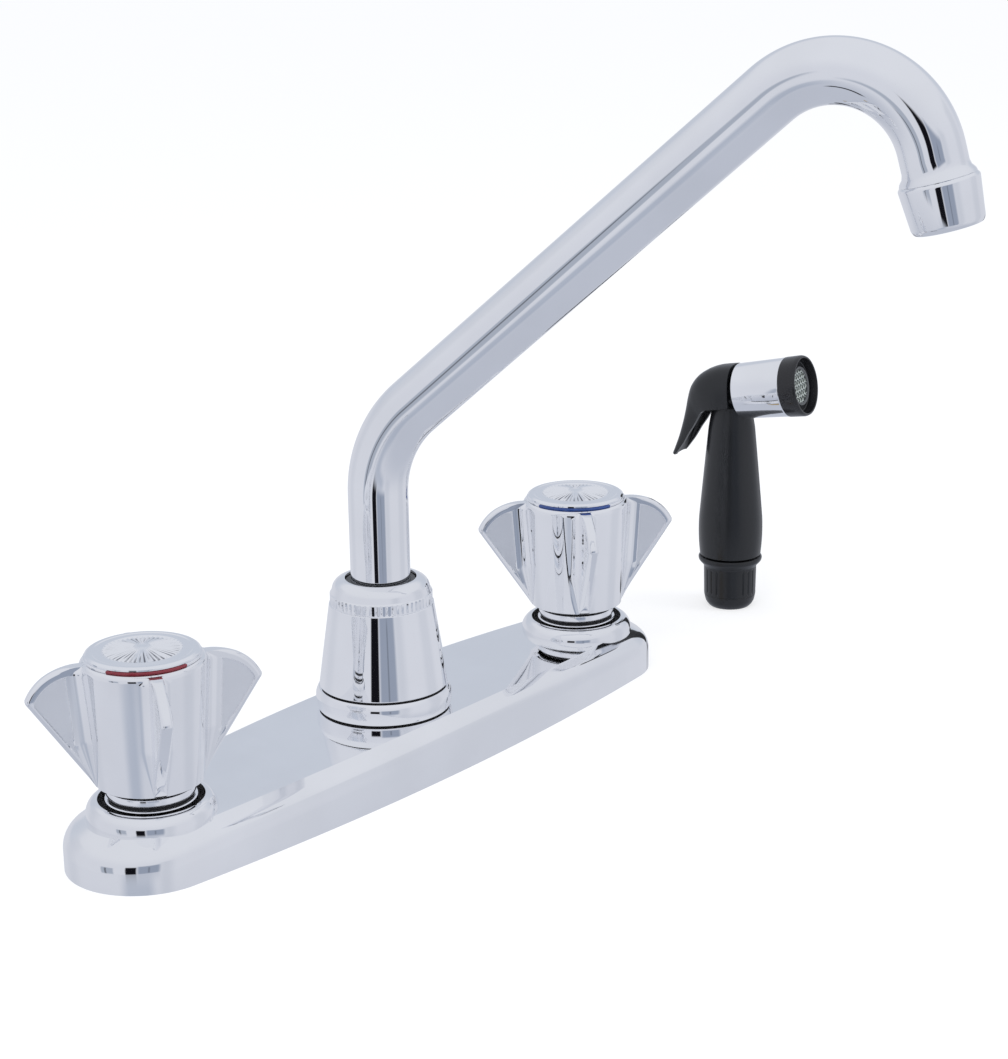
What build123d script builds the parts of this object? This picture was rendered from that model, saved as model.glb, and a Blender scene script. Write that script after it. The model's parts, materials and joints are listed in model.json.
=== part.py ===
from build123d import *
import math
import os

# Two handle kitchen faucet with a side sprayer.
# Frame: X runs along the deck plate (hot handle at -X, cold at +X), the user stands at -Y,
# +Z is up, and Z = 0 is the top of the sink. The origin is midway between the two shanks.
# All sizes are in millimetres.

# ---------------------------------------------------------------- driving dimensions
centres = 203.2             # hot to cold, the 8 inch hole spacing
slip = 0.05                 # radial clearance of a running fit
gap = 0.3                   # clearance between parts that must not rub

# deck plate
deck_end_x = 105.3          # centre of each rounded end
deck_end_r = 23.5
deck_half_width = 29.5      # at the middle, where the sides bow out
deck_height = 17.2          # at the middle
deck_crown = 2.0            # how much lower the top is at the handles
deck_wall = 2.0
crease_in = 6.5             # the shoulder's width, edge to crease
crease_drop = 3.4           # and its height
shoulder_r = 7.0
boss_r = 19.3               # raised ring under each handle
boss_rise = 4.5
boss_side_in = 3.4          # the boss's side ends this far under its lip
boss_round_in = 0.8         # the middle of its rounding, from the side and from the lip
boss_round_down = 1.1
boss_lip_in = 1.0           # the lip's flat width
recess_r = 15.7             # opening in that ring
recess_deep = 2.6           # lip to the seal
hub_hole_r = 13.2

# valves
shank_r = 10.25             # 1/2 inch pipe thread
shank_length = 48.0         # below the sink's top
relief_r = 9.6              # thread relief under the fixing nut
relief_h = 1.5
waterway_r = 5.0
barrel_r = 12.6
barrel_bore_r = 9.4
flange_r = 16.5
flange_t = 3.0
plate_t = 2.0               # putty plate under the deck
plate_hole_r = 12.0         # its middle hole
cross_tube_r = 3.3
cross_tube_room = 0.5       # between the tube and the deck plate
cross_tube_wall = 0.8
cross_tube_grip = 2.0       # how far the tube enters each socket
seat_t = 0.8
rotor_r = 8.6
rotor_t = 2.6

# collar that shows under each knob
collar_r = 13.6             # lower ring
collar_step = 0.5           # each ring up is this much smaller
collar_groove_r = 12.1
collar_foot = 0.7
collar_ring_h = 2.3
collar_groove_h = 1.1
collar_round = 0.45
collar_skirt_room = 1.1     # over the valve's rotor
seal_t = 3.6                # rubber ring that closes the recess
stem_r = 4.2
stem_ring_in = 2.6          # below the barrel's top
stem_ring_wire = 0.5
ring_room = 0.1             # between an O-ring and its groove's sides
stem_up = 25.1              # over the knob's bottom
broach_r = 3.4              # the knob's grip on the stem
broach_up = 5.1
screw_r = 1.6
screw_length = 14.0
screw_head_r = 3.6
screw_head_h = 2.2
screw_slot_w = 0.9
screw_slot_share = 0.85     # slot length over head width

# knob
knob_height = 38.0          # its bottom runs just over the collar
knob_bottom_r = 15.9
knob_top_r = 18.3
knob_shoulder = 1.8
wing_r = 34.3
wing_tip_up = 28.7          # these three stand over the knob's bottom
wing_rim_up = 37.3          # where the rim leaves the body
wing_foot_up = 0.9          # where the slanted edge meets the body
wing_bulge = 3.08           # the rim's arc over its chord
wing_t = 3.7
wing_corner = 1.6           # the tip's short upright edge
wing_corner_in = 0.3
hot_wing_angle = 58.0
cold_wing_angle = 48.0
wing_panel_in = 1.9         # the rim round each flat face
wing_panel_deep = 0.45
panel_root = 1.0            # from the body
panel_foot_up = 8.7         # over the wing's foot
panel_rim_in = 3.2
panel_tip_in = 2.6
panel_bulge = 2.96
knob_cavity_r = 13.2
knob_cavity_h = 19.0
post_r = 7.4
post_lift = 0.6             # the post ends this far above the knob's bottom
pocket_r = 11.5
pocket_up = 31.1            # its floor over the knob's bottom
ring_r = 17.1
ring_t = 0.8
button_r = 16.6
button_edge = 1.2
button_bevel = 0.6
button_dome = 1.3
button_plug_h = 3.0

# spout stand
base_ring_r = 22.0
base_ring_h = 7.3
base_ring_round = 1.3
base_ring_lean = 0.3
cone_foot_r = 20.7
cone_top_r = 16.7
stand_groove = 0.5          # fine dark line between ring and cone
cone_height = 27.2
cone_wall = 1.5
cone_round = 0.5
cone_seat = 0.6             # how far the ring's neck stands in from the cone's foot
knurl_h = 3.6
knurl_r = 16.4
knurl_count = 60
knurl_deep = 0.35
nut_dome_h = 4.6
nut_bulge = 1.5             # the dome's arc over its chord
nut_rim = 0.5               # flat rim round the mouth
nut_mouth_r = 11.4
hub_r = 14.0
hub_top_room = 0.5          # the hub's body stays this far under the deck
hub_neck_r = 12.5
hub_floor_t = 1.5
hub_floor_top = 8.0
neck_grip = 3.6             # length of neck inside the nut
nipple_r = 6.6
nipple_bore_r = 3.6
nipple_spigot_r = 6.1       # its end inside the hub
nipple_length = 36.0        # below the sink's top
diverter_r = 8.8
diverter_t = 1.8
diverter_stem_r = 2.6
diverter_top = 20.0
diverter_lift = 2.5

# fixing under the sink
washer_r = 18.0
washer_t = 1.4
washer_top = -4.8           # leaves room for the sink's sheet
nut_flats = 27.0
nut_h = 7.0

# spout
tube_r = 9.525              # 3/4 inch tube
tube_wall = 1.1
spout_swing = 18.0          # the spout stands this far towards the cold side
knee_z = 105.4              # corner of the lower bend
knee_angle = 48.6           # from upright
knee_r = 38.5
run_length = 212.0          # corner to corner
hook_angle = 116.4          # further turn at the top
hook_r = 28.1
hook_tail = 53.8            # upper corner to the aerator
flare_r = 11.0
flare_h = 3.4
flare_step = 0.35
spigot_r = 9.4
spigot_bottom = 24.0
spigot_bore_r = 6.2
spigot_plug_h = 7.5         # inside the tube
trap_ring_r = 11.2          # ring that the nut holds down
trap_ring_h = 3.0
spout_ring_wire = 0.75      # O-ring section
spout_ring_z = (30.0, 37.0)
bushing_r = 12.0
bushing_flange_h = 2.0
bushing_top_in = 0.9        # below the nut's mouth

# aerator
aerator_top_r = 11.65
aerator_bottom_r = 10.45
aerator_h = 14.0
aerator_round = 1.0
thread_r = 9.9
thread_h = 5.0
outlet_r = 8.4
insert_r = 9.0
insert_h = 5.6
insert_flange_h = 0.8
insert_hole_r = 0.95
insert_pitch = 2.9
outlet_washer_t = 1.1
outlet_washer_r = 7.2       # its hole

# sprayer, standing on the same surface
sprayer_x = 193.6
sprayer_y = -3.4
sprayer_heading = -80.0     # the head points this way in plan
head_tilt = 10.3
head_z = 83.4               # head axis over the body's axis
hose_nut_foot_r = 8.9
hose_nut_r = 9.9
hose_nut_h = 16.6
hose_nut_flange_r = 12.1
hose_nut_flange_h = 3.2
hose_nut_round = 1.2
hose_rib_bottom = 5.6
hose_rib_count = 18
hose_rib_w = 0.6
hose_bore_r = 4.6
hose_bore_h = 9.4
hose_washer_t = 1.6
body_gap = 0.8              # dark line between nut and body
body_foot_r = 11.5
body_max_r = 12.0
body_neck_r = 8.7
body_spigot_r = 8.2
belly_z = 27.0
belly_top_z = 35.0
waist_z = 51.0
waist_r = 10.5
neck_z = 70.0
spray_bore_r = 3.0
head_bore_r = 4.8
head_core_r = 9.2
head_back_r = 6.8
head_back = -5.0            # along the head's axis
band_start = 3.4
band_length = 19.8
band_r = 10.5
band_front_r = 11.1
band_wall = 1.1
nozzle_length = 6.8
nozzle_r = 11.3
nozzle_round = 0.8
nozzle_mouth_r = 9.5
nozzle_mouth_deep = 3.6
nozzle_hole_r = 6.8
screen_ring_r = 6.7
screen_r = 5.7
screen_t = 0.6
screen_ring_h = 1.6
screen_pitch = 1.3
screen_wire = 0.4
lever_front = 3.1           # along the head's axis
lever_top = 10.4            # over it
lever_skirt = -4.6
lever_travel = 12.0         # degrees
lever_wall = 1.7
lever_half_width = 10.2
lever_tip_half_width = 5.8
lever_back = (-15.8, 3.3)   # where the hood's back turns into the tail
lever_hood_mid = (-11.4, 7.9)
lever_tail_mid = (-21.3, -8.5)
lever_tip = (-28.0, -20.3)
lever_tip_in = (-26.9, -21.7)
lever_under_mid = (-18.2, -12.2)
lever_under_end = -9.2
lever_round_from = -5.0     # the hood narrows behind here
lever_tail_half_width = 7.0
lever_waist_bulge = 0.6
lever_waist_in = 1.0        # the waist stands this far behind the hood's back
lever_roof_from = -3.0      # the hood's flat top ends here
lever_pin_along = 0.5
lever_pin_up = 1.5
lever_pin_r = 1.25
plunger_r = 2.2
plunger_along = -5.0
plunger_bottom = 70.0
plunger_top_room = 0.3
spring_wire = 0.35
spring_r = 1.7
spring_turns = 8
spring_length = 9.0

half = centres / 2
sides = {"hot": -1, "cold": 1}
wing_angles = {"hot": hot_wing_angle, "cold": cold_wing_angle}
os.makedirs("parts", exist_ok=True)


def save(builder, name):
    builder.part.label = name
    export_step(builder.part, f"parts/{name}.step")
    return builder.part


def upright(x, y=0.0, turn=0.0):
    """A vertical drawing plane through (x, y): its own X is outwards, its own Y is up."""
    a = math.radians(turn)
    return Plane(origin=(x, y, 0), x_dir=(math.cos(a), math.sin(a), 0), z_dir=(math.sin(a), -math.cos(a), 0))


def level(x, y, z):
    """A horizontal drawing plane at height z, centred on (x, y)."""
    return Plane(origin=(x, y, z))


def turned(plane, *points, mode=Mode.ADD):
    """Turn a closed outline of (radius, height) points round the plane's own Y axis."""
    with BuildSketch(plane) as outline:
        with BuildLine():
            Polyline(*points, close=True)
        make_face()
    revolve(outline.sketch, axis=Axis(plane.origin, plane.y_dir), mode=mode)


def bulged(start, end, height):
    """The top of an arc from start to end that stands height over its chord, on the right of the way."""
    across, along = end[0] - start[0], end[1] - start[1]
    chord = math.hypot(across, along)
    return ((start[0] + end[0]) / 2 + along / chord * height, (start[1] + end[1]) / 2 - across / chord * height)


def ring_of_wire(plane, radius, height, wire):
    """An O-ring round the plane's own Y axis."""
    with BuildSketch(plane) as section:
        with Locations((radius, height)):
            Circle(wire)
    revolve(section.sketch, axis=Axis(plane.origin, plane.y_dir))


# ---------------------------------------------------------------- deck plate
def deck_outline(inset):
    """The plate's plan: two rounded ends joined by bowed sides that meet them smoothly."""
    bow_r = (deck_end_x**2 + deck_half_width**2 - deck_end_r**2) / (2 * (deck_half_width - deck_end_r))
    lean = math.atan2(deck_end_x, bow_r - deck_half_width)
    end_r = deck_end_r - inset
    mid = deck_half_width - inset
    tx = deck_end_x + end_r * math.sin(lean)
    ty = end_r * math.cos(lean)
    tip = deck_end_x + end_r
    ThreePointArc((-tx, ty), (0, mid), (tx, ty))
    ThreePointArc((tx, ty), (tip, 0), (tx, -ty))
    ThreePointArc((tx, -ty), (0, -mid), (-tx, -ty))
    ThreePointArc((-tx, -ty), (-tip, 0), (-tx, ty))


def crown_z(x, drop=0.0):
    """Height of the crowned top at x."""
    return deck_height - drop - deck_crown * (x / half)**2


def deck_form(inset, drop, shoulder):
    """A solid with the plate's plan, crowned top, creased edge and rounded shoulder."""
    crown_r = half**2 / (2 * deck_crown)
    with BuildPart() as form:
        with BuildSketch():
            with BuildLine():
                deck_outline(inset)
            make_face()
        extrude(amount=2 * deck_height)
        with BuildSketch(Plane.XZ.offset(-2 * deck_half_width)):
            with Locations((0, deck_height - drop - crown_r)):
                Circle(crown_r)
        extrude(amount=4 * deck_half_width, mode=Mode.INTERSECT)
        top = form.faces().sort_by(Axis.Z)[-1]
        chamfer(top.edges(), length=crease_in, length2=crease_drop, reference=top)
        if shoulder:
            wall = form.faces().filter_by(lambda f: abs(f.normal_at().Z) < 0.01).edges()
            corner = wall.filter_by(lambda e: e.center().Z > 1)
            corner = corner.filter_by(lambda e: abs(e.tangent_at(0.5).Z) < 0.5)
            fillet(corner, shoulder)
    return form.part


with BuildPart() as deck_cover:
    add(deck_form(0.0, 0.0, shoulder_r))
    for side in sides.values():
        with BuildSketch(upright(side * half)):
            with BuildLine():
                foot = crown_z(half + boss_r) - deck_wall / 2
                lip = crown_z(half) + boss_rise
                Polyline((recess_r, foot), (boss_r, foot), (boss_r, lip - boss_side_in))
                ThreePointArc((boss_r, lip - boss_side_in), (boss_r - boss_round_in, lip - boss_round_down),
                              (recess_r + boss_lip_in, lip))
                Polyline((recess_r + boss_lip_in, lip), (recess_r, lip), (recess_r, foot))
            make_face()
        revolve(axis=Axis((side * half, 0, 0), (0, 0, 1)))
    add(deck_form(deck_wall, deck_wall, 0.0), mode=Mode.SUBTRACT)
    for side in sides.values():
        with BuildSketch(level(side * half, 0, 0)):
            Circle(recess_r)
        extrude(amount=deck_height + boss_rise, mode=Mode.SUBTRACT)
    with BuildSketch():
        Circle(hub_hole_r)
    extrude(amount=2 * deck_height, mode=Mode.SUBTRACT)
save(deck_cover, "deck_cover")

with BuildPart() as putty_plate:
    with BuildSketch():
        with BuildLine():
            deck_outline(deck_wall + gap)
        make_face()
        with Locations((-half, 0), (half, 0)):
            Circle(shank_r + gap, mode=Mode.SUBTRACT)
        Circle(plate_hole_r, mode=Mode.SUBTRACT)
    extrude(amount=plate_t)
save(putty_plate, "putty_plate")

# ---------------------------------------------------------------- valves
flange_top = plate_t + flange_t
barrel_floor = flange_top + 0.5
rotor_bottom = barrel_floor + seat_t + ring_room
barrel_top = crown_z(half) + boss_rise - recess_deep
cross_tube_z = crown_z(half - barrel_r, deck_wall) - cross_tube_r - cross_tube_room
collar_base = barrel_top + collar_foot
collar_top = collar_base + 2 * collar_ring_h + 2 * collar_groove_h
socket_r = cross_tube_r + slip
knob_bottom = collar_top + gap
knob_top = knob_bottom + knob_height
wing_foot_z = knob_bottom + wing_foot_up
wing_tip_z = knob_bottom + wing_tip_up
wing_rim_z = knob_bottom + wing_rim_up
pocket_floor = knob_bottom + pocket_up
stem_top = knob_bottom + stem_up
stem_ring_z = barrel_top - stem_ring_in
broach_bottom = knob_bottom + broach_up
fixing_bottom = washer_top - washer_t - nut_h
relief_top = fixing_bottom - gap

for name, side in sides.items():
    x = side * half
    axis_plane = upright(x)
    inward = Plane(origin=(x, 0, cross_tube_z), x_dir=(0, 1, 0), z_dir=(-side, 0, 0))

    with BuildPart() as valve_body:
        turned(axis_plane, (0, -shank_length), (shank_r, -shank_length), (shank_r, relief_top - relief_h),
               (relief_r, relief_top - relief_h), (relief_r, relief_top), (shank_r, relief_top), (shank_r, plate_t),
               (flange_r, plate_t), (flange_r, flange_top), (barrel_r, flange_top), (barrel_r, barrel_top), (0, barrel_top))
        turned(axis_plane, (0, barrel_floor), (barrel_bore_r, barrel_floor), (barrel_bore_r, barrel_top),
               (0, barrel_top), mode=Mode.SUBTRACT)
        turned(axis_plane, (0, -shank_length), (waterway_r, -shank_length), (waterway_r, barrel_floor),
               (0, barrel_floor), mode=Mode.SUBTRACT)
        with BuildSketch(inward.offset(barrel_r - cross_tube_grip)):
            Circle(socket_r)
        extrude(amount=cross_tube_grip + flange_r - barrel_r + 1, mode=Mode.SUBTRACT)
        with BuildSketch(inward):
            Circle(cross_tube_r - cross_tube_wall)
        extrude(amount=barrel_r, mode=Mode.SUBTRACT)
    save(valve_body, f"valve_body_{name}")

    with BuildPart() as recess_seal:
        turned(axis_plane, (barrel_r, barrel_top - seal_t), (recess_r, barrel_top - seal_t), (recess_r, barrel_top),
               (barrel_r, barrel_top))
    save(recess_seal, f"recess_seal_{name}")

    with BuildPart() as seat:
        turned(axis_plane, (waterway_r, barrel_floor), (rotor_r, barrel_floor), (rotor_r, barrel_floor + seat_t),
               (waterway_r, barrel_floor + seat_t))
    save(seat, f"valve_seat_{name}")

    with BuildPart() as bonnet:
        skirt_r = barrel_bore_r - slip
        stem_hole_r = stem_r + slip
        skirt_foot = rotor_bottom + rotor_t + collar_skirt_room
        upper_r = collar_r - collar_step
        mid_z = collar_base + collar_ring_h + collar_groove_h
        turned(axis_plane, (stem_hole_r, skirt_foot), (skirt_r, skirt_foot), (skirt_r, barrel_top),
               (collar_groove_r, barrel_top), (collar_groove_r, collar_base),
               (collar_r, collar_base), (collar_r, collar_base + collar_ring_h),
               (collar_groove_r, collar_base + collar_ring_h), (collar_groove_r, mid_z),
               (upper_r, mid_z), (upper_r, mid_z + collar_ring_h),
               (collar_groove_r, mid_z + collar_ring_h), (collar_groove_r, collar_top), (stem_hole_r, collar_top))
        ring_edges = bonnet.edges().filter_by(GeomType.CIRCLE).filter_by(lambda e: e.radius > upper_r - 0.01)
        fillet(ring_edges, collar_round)
    save(bonnet, f"bonnet_{name}")

    with BuildPart() as stem:
        groove_r = stem_r - 2 * stem_ring_wire + 0.05
        turned(axis_plane, (0, rotor_bottom), (rotor_r, rotor_bottom), (rotor_r, rotor_bottom + rotor_t),
               (stem_r, rotor_bottom + rotor_t), (stem_r, stem_ring_z - stem_ring_wire - ring_room),
               (groove_r, stem_ring_z - stem_ring_wire - ring_room),
               (groove_r, stem_ring_z + stem_ring_wire + ring_room),
               (stem_r, stem_ring_z + stem_ring_wire + ring_room), (stem_r, broach_bottom), (broach_r, broach_bottom),
               (broach_r, stem_top), (0, stem_top))
        with BuildSketch(level(x, 0, stem_top)):
            Circle(screw_r)
        extrude(amount=-screw_length, mode=Mode.SUBTRACT)
    save(stem, f"stem_{name}")

    with BuildPart() as stem_ring:
        ring_of_wire(axis_plane, groove_r + stem_ring_wire, stem_ring_z, stem_ring_wire)
    save(stem_ring, f"stem_o_ring_{name}")

    # the knob: a tapered round body with four wings, hollow below, with a pocket on top
    with BuildPart() as handle:
        with BuildSketch(axis_plane):
            with BuildLine():
                Polyline((0, knob_top), (0, knob_bottom), (knob_bottom_r, knob_bottom),
                         (knob_top_r, knob_top - knob_shoulder))
                RadiusArc((knob_top_r, knob_top - knob_shoulder), (knob_top_r - knob_shoulder, knob_top),
                          -knob_shoulder)
                Line((knob_top_r - knob_shoulder, knob_top), (0, knob_top))
            make_face()
        revolve(axis=Axis((x, 0, 0), (0, 0, 1)))
        for quarter in range(4):
            wing_plane = upright(x, 0, wing_angles[name] + 90 * quarter)
            with BuildSketch(wing_plane) as wing_outline:
                with BuildLine():
                    tip, rim = (wing_r, wing_tip_z), (knob_top_r, wing_rim_z)
                    Polyline((post_r, wing_rim_z), (post_r, wing_foot_z), (knob_bottom_r, wing_foot_z),
                             (wing_r - wing_corner_in, wing_tip_z - wing_corner), tip)
                    ThreePointArc(tip, bulged(tip, rim, wing_bulge), rim)
                    Line((knob_top_r, wing_rim_z), (post_r, wing_rim_z))
                make_face()
            extrude(amount=wing_t / 2, both=True)
    with BuildPart() as knob:
        add(handle.part)
        for quarter in range(4):
            wing_plane = upright(x, 0, wing_angles[name] + 90 * quarter)
            for face_side in (-1, 1):
                with BuildSketch(wing_plane.offset(face_side * wing_t / 2)):
                    with BuildLine():
                        root = knob_top_r + panel_root
                        panel_rim = (root, wing_rim_z - panel_rim_in)
                        panel_tip = (wing_r - panel_tip_in + wing_corner_in / 2, wing_tip_z - wing_corner_in)
                        Polyline(panel_rim, (root, wing_foot_z + panel_foot_up),
                                 (wing_r - panel_tip_in, wing_tip_z - wing_corner), panel_tip)
                        ThreePointArc(panel_tip, bulged(panel_tip, panel_rim, panel_bulge), panel_rim)
                    make_face()
                extrude(amount=-face_side * wing_panel_deep, mode=Mode.SUBTRACT)
        turned(axis_plane, (post_r, knob_bottom), (knob_cavity_r, knob_bottom),
               (knob_cavity_r, knob_bottom + knob_cavity_h), (post_r, knob_bottom + knob_cavity_h), mode=Mode.SUBTRACT)
        turned(axis_plane, (0, knob_bottom), (post_r, knob_bottom), (post_r, knob_bottom + post_lift),
               (0, knob_bottom + post_lift), mode=Mode.SUBTRACT)
        turned(axis_plane, (0, knob_bottom), (stem_r + gap, knob_bottom), (stem_r + gap, broach_bottom + slip),
               (broach_r + slip, broach_bottom + slip), (broach_r + slip, stem_top + slip),
               (screw_r + gap, stem_top + slip), (screw_r + gap, pocket_floor), (pocket_r, pocket_floor),
               (pocket_r, knob_top), (0, knob_top), mode=Mode.SUBTRACT)
    save(knob, f"handle_{name}")

    with BuildPart() as handle_screw:
        turned(axis_plane, (0, stem_top - screw_length + 1), (screw_r - slip, stem_top - screw_length + 1),
               (screw_r - slip, pocket_floor), (screw_head_r, pocket_floor),
               (screw_head_r, pocket_floor + screw_head_h), (0, pocket_floor + screw_head_h))
        with BuildSketch(level(x, 0, pocket_floor + screw_head_h)):
            Rectangle(2 * screw_slot_share * screw_head_r, screw_slot_w)
            Rectangle(screw_slot_w, 2 * screw_slot_share * screw_head_r)
        extrude(amount=-0.6 * screw_head_h, mode=Mode.SUBTRACT)
    save(handle_screw, f"handle_screw_{name}")

    with BuildPart() as index_ring:
        turned(axis_plane, (pocket_r, knob_top), (ring_r - 0.2, knob_top), (ring_r, knob_top + 0.2),
               (ring_r, knob_top + ring_t), (pocket_r, knob_top + ring_t))
    save(index_ring, f"index_ring_{name}")

    with BuildPart() as index_button:
        ring_top = knob_top + ring_t
        rim_top = ring_top + button_edge
        with BuildSketch(axis_plane):
            with BuildLine():
                Polyline((0, rim_top + button_dome), (0, ring_top - button_plug_h),
                         (pocket_r - gap, ring_top - button_plug_h), (pocket_r - gap, ring_top),
                         (button_r, ring_top), (button_r, rim_top - button_bevel),
                         (button_r - button_bevel, rim_top))
                dome_r = ((button_r - button_bevel)**2 + button_dome**2) / (2 * button_dome)
                RadiusArc((button_r - button_bevel, rim_top), (0, rim_top + button_dome), -dome_r)
            make_face()
        revolve(axis=Axis((x, 0, 0), (0, 0, 1)))
    save(index_button, f"index_button_{name}")

    with BuildPart() as cross_tube:
        start = barrel_r - cross_tube_grip + slip
        with BuildSketch(inward.offset(start)):
            Circle(cross_tube_r)
            Circle(cross_tube_r - cross_tube_wall, mode=Mode.SUBTRACT)
        extrude(amount=half - start - (hub_r - cross_tube_grip) - slip)
    save(cross_tube, f"cross_tube_{name}")

    with BuildPart() as mounting_washer:
        turned(axis_plane, (shank_r + slip, washer_top - washer_t), (washer_r, washer_top - washer_t),
               (washer_r, washer_top), (shank_r + slip, washer_top))
    save(mounting_washer, f"mounting_washer_{name}")

    with BuildPart() as mounting_nut:
        with BuildSketch(level(x, 0, fixing_bottom)):
            RegularPolygon(nut_flats / 2, 6, major_radius=False)
            Circle(shank_r + slip, mode=Mode.SUBTRACT)
        extrude(amount=nut_h)
    save(mounting_nut, f"mounting_nut_{name}")

# ---------------------------------------------------------------- spout stand
stand = upright(0)
hub_body_top = deck_height - deck_wall - hub_top_room
cone_bottom = deck_height + base_ring_h + stand_groove
cone_top = cone_bottom + cone_height
hub_top = cone_top + neck_grip
hub_bore_r = spigot_r + slip
trap_bottom = hub_top - gap - trap_ring_h
nut_shoulder = cone_top + knurl_h
nut_top = nut_shoulder + nut_dome_h

with BuildPart() as spout_hub:
    turned(stand, (0, plate_t), (hub_r, plate_t), (hub_r, hub_body_top), (hub_neck_r, hub_body_top),
           (hub_neck_r, hub_top), (0, hub_top))
    turned(stand, (0, hub_floor_top), (hub_bore_r, hub_floor_top), (hub_bore_r, trap_bottom - gap),
           (trap_ring_r + gap, trap_bottom - gap), (trap_ring_r + gap, hub_top), (0, hub_top), mode=Mode.SUBTRACT)
    turned(stand, (0, plate_t), (nipple_spigot_r + slip, plate_t), (nipple_spigot_r + slip, hub_floor_top - hub_floor_t),
           (0, hub_floor_top - hub_floor_t), mode=Mode.SUBTRACT)
    with BuildSketch(level(0, 0, plate_t)):
        Circle(diverter_stem_r + gap)
    extrude(amount=hub_floor_top, mode=Mode.SUBTRACT)
    for side in sides.values():
        outward = Plane(origin=(0, 0, cross_tube_z), x_dir=(0, 1, 0), z_dir=(side, 0, 0))
        with BuildSketch(outward.offset(hub_r - cross_tube_grip)):
            Circle(socket_r)
        extrude(amount=cross_tube_grip + 1, mode=Mode.SUBTRACT)
        with BuildSketch(outward.offset(hub_bore_r - 1)):
            Circle(cross_tube_r - cross_tube_wall)
        extrude(amount=hub_r, mode=Mode.SUBTRACT)
save(spout_hub, "spout_hub")

with BuildPart() as spray_nipple:
    turned(stand, (nipple_bore_r, -nipple_length), (nipple_r, -nipple_length), (nipple_r, plate_t - slip),
           (nipple_spigot_r, plate_t - slip), (nipple_spigot_r, hub_floor_top - hub_floor_t - slip),
           (nipple_bore_r, hub_floor_top - hub_floor_t - slip))
save(spray_nipple, "spray_nipple")

with BuildPart() as diverter_piston:
    turned(stand, (0, plate_t + 3), (diverter_stem_r, plate_t + 3), (diverter_stem_r, hub_floor_top + 0.1),
           (diverter_r, hub_floor_top + 0.1), (diverter_r, hub_floor_top + 0.1 + diverter_t),
           (diverter_stem_r, hub_floor_top + 0.1 + diverter_t), (diverter_stem_r, diverter_top), (0, diverter_top))
save(diverter_piston, "diverter_piston")

with BuildPart() as base_ring:
    ring_top = deck_height + base_ring_h
    turned(stand, (hub_hole_r, deck_height), (base_ring_r, deck_height), (base_ring_r - base_ring_lean, ring_top),
           (cone_foot_r - cone_seat, ring_top), (cone_foot_r - cone_seat, cone_bottom), (hub_hole_r, cone_bottom))
    fillet(base_ring.edges().filter_by(GeomType.CIRCLE).group_by(lambda e: e.radius)[-2], base_ring_round)
save(base_ring, "base_ring")

with BuildPart() as spout_cone:
    turned(stand, (hub_neck_r + slip, cone_top - cone_wall), (cone_top_r - cone_wall, cone_top - cone_wall),
           (cone_foot_r - cone_wall, cone_bottom), (cone_foot_r, cone_bottom), (cone_top_r, cone_top),
           (hub_neck_r + slip, cone_top))
    fillet(spout_cone.edges().filter_by(GeomType.CIRCLE).group_by(lambda e: e.radius)[-1], cone_round)
save(spout_cone, "spout_cone")

with BuildPart() as spout_nut:
    with BuildSketch(level(0, 0, cone_top)):
        Circle(knurl_r)
        with PolarLocations(knurl_r, knurl_count):
            Rectangle(2 * knurl_deep, 2 * knurl_deep, rotation=45, mode=Mode.SUBTRACT)
    extrude(amount=knurl_h)
    with BuildSketch(stand):
        with BuildLine():
            dome_foot, dome_head = (knurl_r - knurl_deep, nut_shoulder), (nut_mouth_r + nut_rim, nut_top)
            Polyline((0, nut_shoulder), dome_foot)
            ThreePointArc(dome_foot, bulged(dome_foot, dome_head, nut_bulge), dome_head)
            Polyline(dome_head, (0, nut_top), (0, nut_shoulder))
        make_face()
    revolve(axis=Axis((0, 0, 0), (0, 0, 1)))
    turned(stand, (0, cone_top), (hub_neck_r + slip, cone_top), (hub_neck_r + slip, hub_top + bushing_flange_h + slip),
           (nut_mouth_r, hub_top + bushing_flange_h + slip), (nut_mouth_r, nut_top), (0, nut_top), mode=Mode.SUBTRACT)
save(spout_nut, "spout_nut")

with BuildPart() as spout_bushing:
    turned(stand, (tube_r + slip, hub_top), (bushing_r, hub_top), (bushing_r, hub_top + bushing_flange_h),
           (nut_mouth_r - gap, hub_top + bushing_flange_h), (nut_mouth_r - gap, nut_top - bushing_top_in),
           (tube_r + slip, nut_top - bushing_top_in))
save(spout_bushing, "spout_bushing")

# ---------------------------------------------------------------- spout
trap_top = trap_bottom + trap_ring_h
spout_plane = upright(0, 0, spout_swing - 90)
lean_in = math.radians(knee_angle)
lean_out = math.radians(knee_angle + hook_angle)
hook_corner = (run_length * math.sin(lean_in), knee_z + run_length * math.cos(lean_in))
knee_back = knee_r * math.tan(lean_in / 2)
hook_back = hook_r * math.tan(math.radians(hook_angle) / 2)
outlet_at = (hook_corner[0] + hook_tail * math.sin(lean_out), hook_corner[1] + hook_tail * math.cos(lean_out))
outlet_way = spout_plane.x_dir * math.sin(lean_out) + spout_plane.y_dir * math.cos(lean_out)
outlet = Plane(origin=spout_plane.from_local_coords(outlet_at), x_dir=spout_plane.z_dir,
               z_dir=spout_plane.z_dir.cross(outlet_way))
tube_bore_r = tube_r - tube_wall

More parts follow.
